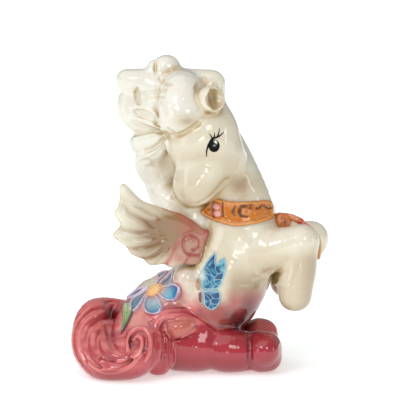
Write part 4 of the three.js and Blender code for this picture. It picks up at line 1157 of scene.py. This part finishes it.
def over_paint(name, f, p, n):
    x, y = proj(p)
    z = np.zeros(len(p))
    if name.startswith("flower_petal"):
        a, b = f.ab(p)
        d = -f.outline(a, b)
        wide = {"3": .44, "4": .60, "5": .60, "6": .52}.get(name[-1], .38)
        # The wall mask is painted shadow on the petal's outer slope, below its rim.
        return {"rim": np.exp(-(np.maximum(d - .30, 0) / wide) ** 2), "along": np.clip((a + 3.4) / 6.4, 0, 1) * (.78 if name[-1] == "6" else 1), "tone": {"1": .08, "2": .95, "3": .9, "4": 1, "5": 1, "6": .8}[name[-1]] * (.8 + .2 * np.sin(1.9 * b + int(name[-1]) * 1.3)),
                "wall": 1 - smooth(d, .02, .22), "dark": {"1": 0, "2": .3, "3": .66, "4": .85, "5": .85, "6": .8}[name[-1]] * (smooth(-b * (-1 if name[-1] == "6" else 1), -.9, .9) if name[-1] in "26" else smooth(-a, -2.4, -.4) * .6 + .4)}
    if name == "flower_centre":
        a, b = f.ab(p)
        return {"rim": smooth(np.hypot(a, b), 1.3, 2.1), "along": np.clip(.5 + a / 5, 0, 1), "tone": .5 + .5 * np.cos(5.2 * a + .8) * np.cos(5.2 * b)}
    if name == "leaf":
        d = -leaf_out(x, y)
        right = smooth(x + .42 * (y - 303), 131.5, 134.8)
        return {"rim": np.exp(-((d - 1.0) / 1.1) ** 2) + (d < .8), "along": smooth(y, 302, 316), "tone": np.exp(-(seg2(x, y, LEAF_MID) / .8) ** 2), "wall": .9 * right * smooth(-d, -3.0, -1.0)}
    if name in ("butterfly_forewing", "butterfly_hindwing"):
        g, veins = (fore_out, fvein) if name.endswith("forewing") else (hind_out, hvein)
        cell = .5 + .38 * np.sin(x * .62 + 1.9 * np.sin(y * .33 + .8)) * np.cos(y * .37 + .4)
        cell = cell + .30 * dot(x, y, 222, 266, 3.2, 6) + .35 * dot(x, y, 206, 281, 5, 5) + .25 * dot(x, y, 217.5, 284, 4, 4) - .45 * dot(x, y, 214, 261, 3.4, 10) - .35 * dot(x, y, 221.5, 277, 4, 2.2) \
            - .35 * dot(x, y, 211, 296, 8, 4) - .3 * dot(x, y, 216, 303, 5, 5) + .3 * dot(x, y, 205.5, 301, 2.4, 4)
        return {"rim": np.clip(vein_lines(x, y, g, veins) + (-g(x, y) < .7), 0, 1), "along": np.clip((y - 255) / 55, 0, 1), "tone": np.clip(cell - (.14 if name.endswith("hindwing") else 0), 0, 1), "wall": dot(x, y, 202, 276, 3.4, 5.5)}
    if name == "butterfly_body":
        return {"rim": 1 - smooth(-both(x, y), .25, .95), "along": smooth(y, 289.6, 291.6), "tone": z}
    if name == "collar":
        g = throat(p)
        e = f.edge(p)
        line = np.zeros(len(p))
        for limb, k, sign in f.marks:
            m = box_gap(p, *limb.box) < .8
            if sign < 0 and m.any():
                line[m] = np.maximum(line[m], np.exp(-(np.maximum(limb(p[m]) + .05, 0) / .16) ** 2))
        # The along mask is painted shade where the strap's edges meet the neck.
        return {"rim": np.exp(-((e + .55) / .38) ** 2) * smooth(g, .5, .9), "wall": line, "along": np.clip(smooth(-g, -.66, -.35) + .5 * smooth(e, -.12, .1), 0, 1), "tone": np.clip(.5 + .5 * wobble(p, .5), 0, 1)}
    if name.startswith("eye"):
        if name == "eye_right":
            x, y = proj(mirror(p))
        return {"glint": np.clip(1.3 * dot(x, y, 215.4, 141.6, 1.25, 1.0) + .8 * dot(x, y, 216.3, 143, .9, 1.0) + .35 * dot(x, y, 214.4, 145.6, 1.3, .9), 0, 1)}
    if name == "bow_knot":
        # The tone mask is painted shade in the knot's folds and inside its loops.
        g = knot(p + n * .4)
        return {"rim": z, "along": z, "tone": np.clip((.4 - g) / .4 + .9 * dot(x, y, 284, 222, 5, 4) * .6, 0, 1)}
    return {"rim": z, "along": np.clip((x - 284) / 36, 0, 1), "tone": z, "glint": z}


# ------------------------------------------------------------------ finishes
def nodes_of(name):
    m = bpy.data.materials.new(name)
    m.use_nodes = True
    t = m.node_tree
    return m, t, t.nodes["Principled BSDF"]


def attr(t, name):
    a = t.nodes.new("ShaderNodeAttribute")
    a.attribute_type = "GEOMETRY"
    a.attribute_name = name
    return a.outputs["Fac"]


def srgb(r, g, b):
    return tuple(((c / 255 + .055) / 1.055) ** 2.4 if c > 10 else c / 255 / 12.92 for c in (r, g, b)) + (1.0,)


def mix(t, fac, a, b, kind="MIX"):
    m = t.nodes.new("ShaderNodeMix")
    m.data_type, m.blend_type, m.clamp_factor = "RGBA", kind, True
    for sock, v in ((m.inputs[0], fac), (m.inputs[6], a), (m.inputs[7], b)):
        if isinstance(v, (tuple, float, int)):
            sock.default_value = v
        else:
            t.links.new(v, sock)
    return m.outputs[2]


def ramp(t, fac, *stops):
    r = t.nodes.new("ShaderNodeValToRGB")
    while len(r.color_ramp.elements) < len(stops):
        r.color_ramp.elements.new(.5)
    for e, (at, col) in zip(r.color_ramp.elements, stops):
        e.position, e.color = at, col
    t.links.new(fac, r.inputs[0])
    return r.outputs[0]


def math_(t, op, a, b=0.0, c=None):
    m = t.nodes.new("ShaderNodeMath")
    m.operation, m.use_clamp = op, False
    for sock, v in zip(m.inputs, (a, b) if c is None else (a, b, c)):
        if isinstance(v, (float, int)):
            sock.default_value = v
        else:
            t.links.new(v, sock)
    return m.outputs[0]


def noise(t, scale, detail=3.0, rough=.5):
    c = t.nodes.new("ShaderNodeTexCoord")
    n = t.nodes.new("ShaderNodeTexNoise")
    n.inputs["Scale"].default_value, n.inputs["Detail"].default_value, n.inputs["Roughness"].default_value = scale, detail, rough
    t.links.new(c.outputs["Object"], n.inputs["Vector"])
    return n.outputs["Fac"]


def gloss(t, b, rough=(.05, .16), coat=.6, bump=.12, scale=420, fine=1500):
    """Fired glaze: a little uneven to the touch, hardly ever rough."""
    n = noise(t, scale, 2.0)
    r = ramp(t, n, (.3, (rough[0],) * 3 + (1,)), (.75, (rough[1],) * 3 + (1,)))
    t.links.new(r, b.inputs["Roughness"])
    b.inputs["Coat Weight"].default_value = coat
    b.inputs["Coat Roughness"].default_value = .04
    b.inputs["Coat IOR"].default_value = 1.5
    b.inputs["IOR"].default_value = 1.5
    k = t.nodes.new("ShaderNodeBump")
    k.inputs["Strength"].default_value = bump
    k.inputs["Distance"].default_value = .0004
    t.links.new(noise(t, scale * .45, 1.0), k.inputs["Height"])
    t.links.new(k.outputs["Normal"], b.inputs["Normal"])


# TAN and DEEP_TAN colour the hollows, as pooled glaze and painted shade; ROSE_L is the paler rose of thin glaze and of
# painted highlights; ROSE_D darkens the rose as pooled glaze and painted shade, MAROON as painted shade in creases and
# in the wing's painted lines.
CREAM, CREAM2, TAN, DEEP_TAN = srgb(245, 239, 223), srgb(238, 230, 209), srgb(209, 188, 148), srgb(164, 134, 92)
ROSE_L, ROSE_M, ROSE_D, MAROON = srgb(228, 122, 120), srgb(172, 46, 58), srgb(116, 16, 28), srgb(60, 8, 18)
ON, OFF = (1, 1, 1, 1), (0, 0, 0, 1)


def porcelain(name, pink=0.0, cream=(CREAM, CREAM2)):
    m, t, b = nodes_of(name)
    glaze_pool_and_shade, edge_, blush, dark, shade = (attr(t, a) for a in ("glaze_pool_and_shade", "edge", "blush", "dark", "shade"))
    fleck = ramp(t, noise(t, 260, 4.0, .6), (.35, OFF), (.7, ON))
    drift = noise(t, 95, 3.0, .55)
    base = mix(t, fleck, *cream)
    # Tan and deep tan where the glaze pools in hollows, which is also painted shade of the hollows.
    pooled_glaze_and_shade = math_(t, "ADD", glaze_pool_and_shade, math_(t, "MULTIPLY", math_(t, "SUBTRACT", drift, .5), .16))
    base = mix(t, ramp(t, pooled_glaze_and_shade, (.16, OFF), (.56, ON)), base, TAN)
    base = mix(t, ramp(t, pooled_glaze_and_shade, (.56, OFF), (1.0, (.85, .85, .85, 1))), base, DEEP_TAN)
    # The shade attribute: painted shade, partly a tan tint of the glaze.
    base = mix(t, ramp(t, shade, (0, OFF), (1, ON)), base, mix(t, ramp(t, shade, (.5, OFF), (1, ON)), srgb(184, 158, 114), srgb(152, 118, 82)))
    rose = mix(t, math_(t, "MULTIPLY", fleck, .45), ROSE_M, srgb(182, 56, 66))
    # Paler rose on ridges where the glaze thins, and painted highlights.
    rose = mix(t, ramp(t, edge_, (.10, OFF), (.55, (.85, .85, .85, 1))), rose, ROSE_L)
    # Darker rose in hollows: pooled glaze and painted shade.
    rose = mix(t, ramp(t, glaze_pool_and_shade, (.28, OFF), (.75, ON)), rose, ROSE_D)
    if pink:
        rose = mix(t, pink, rose, mix(t, ramp(t, edge_, (.1, OFF), (.6, ON)), srgb(202, 112, 98), srgb(232, 168, 150)))
    edge_of = math_(t, "ADD", blush, math_(t, "MULTIPLY", math_(t, "SUBTRACT", drift, .5), .35))
    keep = ramp(t, blush, (.02, OFF), (.12, ON))
    keep = math_(t, "MULTIPLY", keep, edge_of)
    keep = math_(t, "MAXIMUM", keep, ramp(t, blush, (.8, OFF), (1, ON)))
    col = mix(t, keep, base, rose)
    # Maroon: painted shade in creases and hollows, and the wing's painted lines.
    col = mix(t, dark, col, MAROON)
    t.links.new(col, b.inputs["Base Color"])
    gloss(t, b)
    return m


def simple(name, build, **kw):
    m, t, b = nodes_of(name)
    t.links.new(build(t), b.inputs["Base Color"])
    gloss(t, b, **kw)
    return m


def petal_look(t):
    along, rim, tone = attr(t, "along"), attr(t, "rim"), attr(t, "tone")
    cell = ramp(t, along, (.14, srgb(212, 182, 164)), (.34, srgb(154, 170, 192)), (.60, srgb(108, 186, 210)), (.92, srgb(22, 116, 186)))
    pale = ramp(t, along, (.14, srgb(176, 154, 160)), (.42, srgb(190, 202, 208)), (.70, srgb(166, 200, 210)), (.97, srgb(70, 148, 196)))
    cell = mix(t, math_(t, "MULTIPLY", tone, .85), cell, pale)
    cell = mix(t, attr(t, "dark"), cell, srgb(86, 92, 120))
    edge_ = mix(t, ramp(t, noise(t, 700, 3), (.35, OFF), (.65, ON)), srgb(234, 224, 234), srgb(208, 178, 206))
    c = mix(t, ramp(t, rim, (.12, OFF), (.32, (.8, .8, .8, 1)), (.36, OFF), (.5, OFF)), cell, srgb(62, 62, 104))
    c = mix(t, ramp(t, rim, (.36, OFF), (.72, ON)), c, edge_)
    # Painted shadow on the petals' outer walls.
    return mix(t, ramp(t, attr(t, "wall"), (.3, OFF), (1, (.6, .6, .6, 1))), c, srgb(150, 128, 156))


def centre_look(t):
    c = mix(t, attr(t, "tone"), srgb(246, 182, 116), srgb(254, 220, 172))
    c = mix(t, ramp(t, attr(t, "along"), (.3, (.55, .55, .55, 1)), (.75, OFF)), c, srgb(252, 190, 84))
    return mix(t, math_(t, "MULTIPLY", attr(t, "rim"), .5), c, srgb(226, 140, 96))


def leaf_look(t):
    c = ramp(t, attr(t, "along"), (.05, srgb(224, 228, 216)), (.40, srgb(200, 210, 158)), (.9, srgb(148, 174, 106)))
    c = mix(t, ramp(t, noise(t, 420, 3), (.4, OFF), (.62, (.5, .5, .5, 1))), c, srgb(168, 198, 130))
    c = mix(t, math_(t, "MULTIPLY", attr(t, "tone"), .24), c, srgb(84, 114, 78))
    c = mix(t, ramp(t, attr(t, "rim"), (.3, OFF), (.8, (.55, .55, .55, 1))), c, srgb(150, 182, 156))
    return mix(t, attr(t, "wall"), c, srgb(54, 66, 96))


def butterfly_look(t):
    cell = ramp(t, attr(t, "tone"), (.12, srgb(12, 60, 106)), (.42, srgb(20, 96, 144)), (.66, srgb(60, 142, 166)), (.95, srgb(128, 186, 194)))
    cell = mix(t, ramp(t, noise(t, 520, 3), (.42, OFF), (.66, (.4, .4, .4, 1))), cell, srgb(20, 90, 150))
    line = mix(t, ramp(t, noise(t, 800, 3), (.3, OFF), (.7, ON)), srgb(112, 182, 210), srgb(176, 212, 224))
    c = mix(t, ramp(t, attr(t, "rim"), (.45, OFF), (.95, ON)), cell, line)
    return mix(t, attr(t, "wall"), c, srgb(214, 232, 226))


def bug_look(t):
    c = mix(t, attr(t, "along"), srgb(196, 156, 122), srgb(108, 58, 40))
    c = mix(t, ramp(t, noise(t, 900, 3), (.4, OFF), (.7, (.5, .5, .5, 1))), c, srgb(150, 98, 70))
    return mix(t, ramp(t, attr(t, "rim"), (.2, OFF), (.8, ON)), c, srgb(226, 208, 196))


def collar_look(t):
    c = mix(t, ramp(t, noise(t, 650, 4, .65), (.38, OFF), (.62, ON)), srgb(204, 114, 30), srgb(213, 132, 48))
    c = mix(t, ramp(t, noise(t, 1500, 2, .6), (.60, OFF), (.70, (.6, .6, .6, 1))), c, srgb(168, 88, 26))
    c = mix(t, ramp(t, attr(t, "rim"), (.1, OFF), (.9, (.55, .55, .55, 1))), c, srgb(232, 162, 88))
    # Painted shade at the strap's edges, where it meets the neck.
    c = mix(t, ramp(t, attr(t, "along"), (.2, OFF), (.9, (.9, .9, .9, 1))), c, srgb(136, 64, 18))
    return mix(t, math_(t, "MULTIPLY", attr(t, "wall"), .9), c, srgb(104, 48, 16))


def knot_look(t):
    c = mix(t, ramp(t, noise(t, 600, 3, .6), (.4, OFF), (.65, ON)), srgb(204, 110, 48), srgb(222, 146, 92))
    # Painted shade in the folds.
    return mix(t, ramp(t, attr(t, "tone"), (.3, OFF), (.9, (.85, .85, .85, 1))), c, srgb(140, 58, 22))


def ribbon_look(t):
    c = mix(t, ramp(t, noise(t, 600, 3), (.4, OFF), (.65, ON)), srgb(206, 112, 58), srgb(228, 152, 104))
    end = ramp(t, attr(t, "along"), (.46, srgb(196, 62, 44)), (.56, srgb(216, 104, 84)), (.8, srgb(214, 120, 92)), (1, srgb(206, 150, 84)))
    return mix(t, ramp(t, attr(t, "along"), (.36, OFF), (.48, ON)), c, end)


def bead_look(t):
    return mix(t, ramp(t, noise(t, 500, 3), (.35, OFF), (.7, ON)), srgb(226, 146, 140), srgb(240, 184, 172))


def enamel_look(t):
    c = mix(t, ramp(t, noise(t, 500, 2), (.35, OFF), (.7, ON)), (.003, .0025, .0025, 1), (.008, .006, .0055, 1))
    return mix(t, attr(t, "glint"), c, srgb(250, 250, 248))


BODY_LOOK, NUB_LOOK, WING_LOOK = porcelain("glaze_porcelain"), porcelain("glaze_porcelain_pink", .75), porcelain("glaze_porcelain_wing", .50)
HAIR_LOOK = porcelain("glaze_porcelain_mane", 0, (srgb(238, 234, 222), srgb(231, 226, 212)))
PET, CEN, LEA = simple("glaze_petal", petal_look), simple("glaze_flower_centre", centre_look), simple("glaze_leaf", leaf_look)
BUT, BUGM, COL = simple("glaze_butterfly", butterfly_look), simple("glaze_butterfly_body", bug_look), simple("glaze_collar", collar_look, bump=.2)
RIB, KNOT, BEAD = simple("glaze_ribbon", ribbon_look), simple("glaze_knot", knot_look, bump=.2), simple("glaze_bead", bead_look)
INK = simple("enamel_black", enamel_look, rough=(.04, .1), bump=.02, coat=.06)
INK.node_tree.nodes["Principled BSDF"].inputs["Specular IOR Level"].default_value = .07

SLOT = {n: "cream_glaze" for n in BODY}
SLOT.update(torso="body_glaze", wing_right="wing_glaze", wing_left="wing_glaze", hind_leg_right="rose_glaze", hind_leg_left="rose_glaze", tail_swirl="rose_glaze",
            tail_root_lock="rose_glaze", haunch_curl="pink_glaze")
LOOK = {"flower_centre": (CEN, "flower_centre_glaze"), "leaf": (LEA, "leaf_glaze"), "butterfly_body": (BUGM, "butterfly_body_glaze"), "butterfly_forewing": (BUT, "butterfly_wing_glaze"),
        "butterfly_hindwing": (BUT, "butterfly_wing_glaze"), "collar": (COL, "collar_glaze"), "collar_bead_upper": (BEAD, "pink_glaze"), "collar_bead_lower": (BEAD, "pink_glaze"),
        "bow_knot": (KNOT, "collar_glaze"), "ribbon": (RIB, "collar_glaze"), "eye_left": (INK, "cream_glaze"), "eye_right": (INK, "cream_glaze"),
        "lashes_left": (INK, "cream_glaze"), "lashes_right": (INK, "cream_glaze")}


def build(name, v, f, masks, mat, slot):
    mesh = bpy.data.meshes.new(name + "_glazed")
    mesh.vertices.add(len(v))
    mesh.vertices.foreach_set("co", ((v - (CX, CY, 0)) / 1000).astype(np.float32).ravel())
    mesh.loops.add(f.size)
    mesh.loops.foreach_set("vertex_index", f.astype(np.int32).ravel())
    mesh.polygons.add(len(f))
    mesh.polygons.foreach_set("loop_start", np.arange(0, f.size, 4, dtype=np.int32))
    mesh.polygons.foreach_set("use_smooth", np.ones(len(f), bool))
    mesh.update(calc_edges=True)
    for k, a in masks.items():
        mesh.attributes.new(k, "FLOAT", "POINT").data.foreach_set("value", np.clip(a, 0, 1).astype(np.float32))
    mesh.materials.append(mat)
    o = bpy.data.objects.new(name + "_glazed", mesh)
    bpy.context.scene.collection.objects.link(o)
    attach(o, "root")
    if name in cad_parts:
        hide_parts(name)
    return o


HAIR = ("withers_lock", "forelock", "ear_right")
total = 0
for name, piece in BODY.items():
    def field(p, name=name):
        out = raw(p, lead=name)
        F = joined(p, out)
        own = out.get(name)
        if own is None:
            return np.full(len(p), 3.0)
        rest = [d for n, d in out.items() if n != name]
        if not rest:
            return F
        o = own - np.min(rest, 0)
        return np.maximum(F + .03 * np.clip(o, 0, 3), o / 2 - .35)
    pad = 1.3 if piece.join < 3 else 2.2
    lo, hi = piece.lo - pad, piece.hi + pad
    lo[2] = max(lo[2], -.4)
    v, f = net(field, lo, hi, piece.cell * FINE)
    v[:, 2] = np.maximum(v[:, 2], 0)
    n = vertex_normals(v, f)
    build(name, v, f, paint(name, v, n), NUB_LOOK if name == "haunch_curl" else WING_LOOK if name in SHOWN else HAIR_LOOK if name.startswith("mane") or name in HAIR else BODY_LOOK, SLOT[name])
    total += len(f)
    print("%-18s %7d faces" % (name, len(f)))
for name, (g, lo, hi, h) in OVER.items():
    v, f = net(g, np.array(lo, float), np.array(hi, float), h * (1))
    n = vertex_normals(v, f)
    mat, slot = LOOK.get(name, (PET, "petal_glaze"))
    build(name, v, f, over_paint(name, g, v, n), mat, slot)
    total += len(f)
    print("%-18s %7d faces" % (name, len(f)))
print("faces", total)

# ------------------------------------------------------------------ floor, light, view
S = bpy.context.scene
bpy.ops.mesh.primitive_plane_add(size=6, location=(0, 0, 0))
floor = bpy.context.object
floor.name = "floor"
fm, ft, fb = nodes_of("floor_white")
fb.inputs["Base Color"].default_value = srgb(240, 250, 250)
fb.inputs["Roughness"].default_value = .9
fb.inputs["Specular IOR Level"].default_value = .1
fb.inputs["Emission Color"].default_value = (1, 1, 1, 1)
fb.inputs["Emission Strength"].default_value = .48
floor.data.materials.append(fm)

world = bpy.data.worlds.new("studio") if S.world is None else S.world
S.world = world
world.use_nodes = True
bg = world.node_tree.nodes.get("Background") or world.node_tree.nodes.new("ShaderNodeBackground")
bg.inputs[0].default_value = (1.0, .995, .985, 1)
bg.inputs[1].default_value = .30


def lamp(name, at, to, size, power, color=(1, 1, 1)):
    d = bpy.data.lights.new(name, "AREA")
    d.shape, d.size, d.size_y, d.energy, d.color = "RECTANGLE", size[0], size[1], power, color
    o = bpy.data.objects.new(name, d)
    o.location = at
    o.rotation_euler = (Vector(to) - Vector(at)).to_track_quat("-Z", "Y").to_euler()
    S.collection.objects.link(o)


aim = Vector((0, 0, .045))


def from_(az, el, d):
    """A place d metres from the middle of the figure: degrees to the right of the view, and up."""
    a, e = math.radians(az), math.radians(el)
    return aim + Vector((math.sin(a) * math.cos(e), -math.cos(a) * math.cos(e), math.sin(e))) * d


lamp("softbox_left", from_(-32, 36, 1.3), aim, (.34, .38), 2.3)
lamp("softbox_right", from_(20, 28, 1.3), aim, (.40, .36), 2.1, (1, .99, .97))
lamp("softbox_side", from_(77, 6, 1.0), aim, (.14, .42), .5)
lamp("window", from_(-56, 6, 1.2), aim, (.44, .50), 1.1)
lamp("front_panel", from_(1, 0, 1.2), aim, (.17, .15), .38)
sun = bpy.data.lights.new("sky_panel", "SUN")
sun.energy, sun.angle = 1.16, math.radians(80)
so = bpy.data.objects.new("sky_panel", sun)
so.rotation_euler = (-Vector((-.42, -.24, 1.0))).to_track_quat("-Z", "Y").to_euler()
S.collection.objects.link(so)

T = np.array([-CX, -CY, TZ]) / 1000
cam = bpy.data.objects.new("view", bpy.data.cameras.new("view"))
cam.data.sensor_width = 36
cam.data.lens = 36 * DIST / (400 / PXMM)
cam.data.clip_start, cam.data.clip_end = .05, 20
cam.location = T - FWD * DIST / 1000
cam.rotation_euler = Vector(FWD).to_track_quat("-Z", "Y").to_euler()
S.collection.objects.link(cam)
S.camera = cam
S.view_settings.view_transform = "Standard"
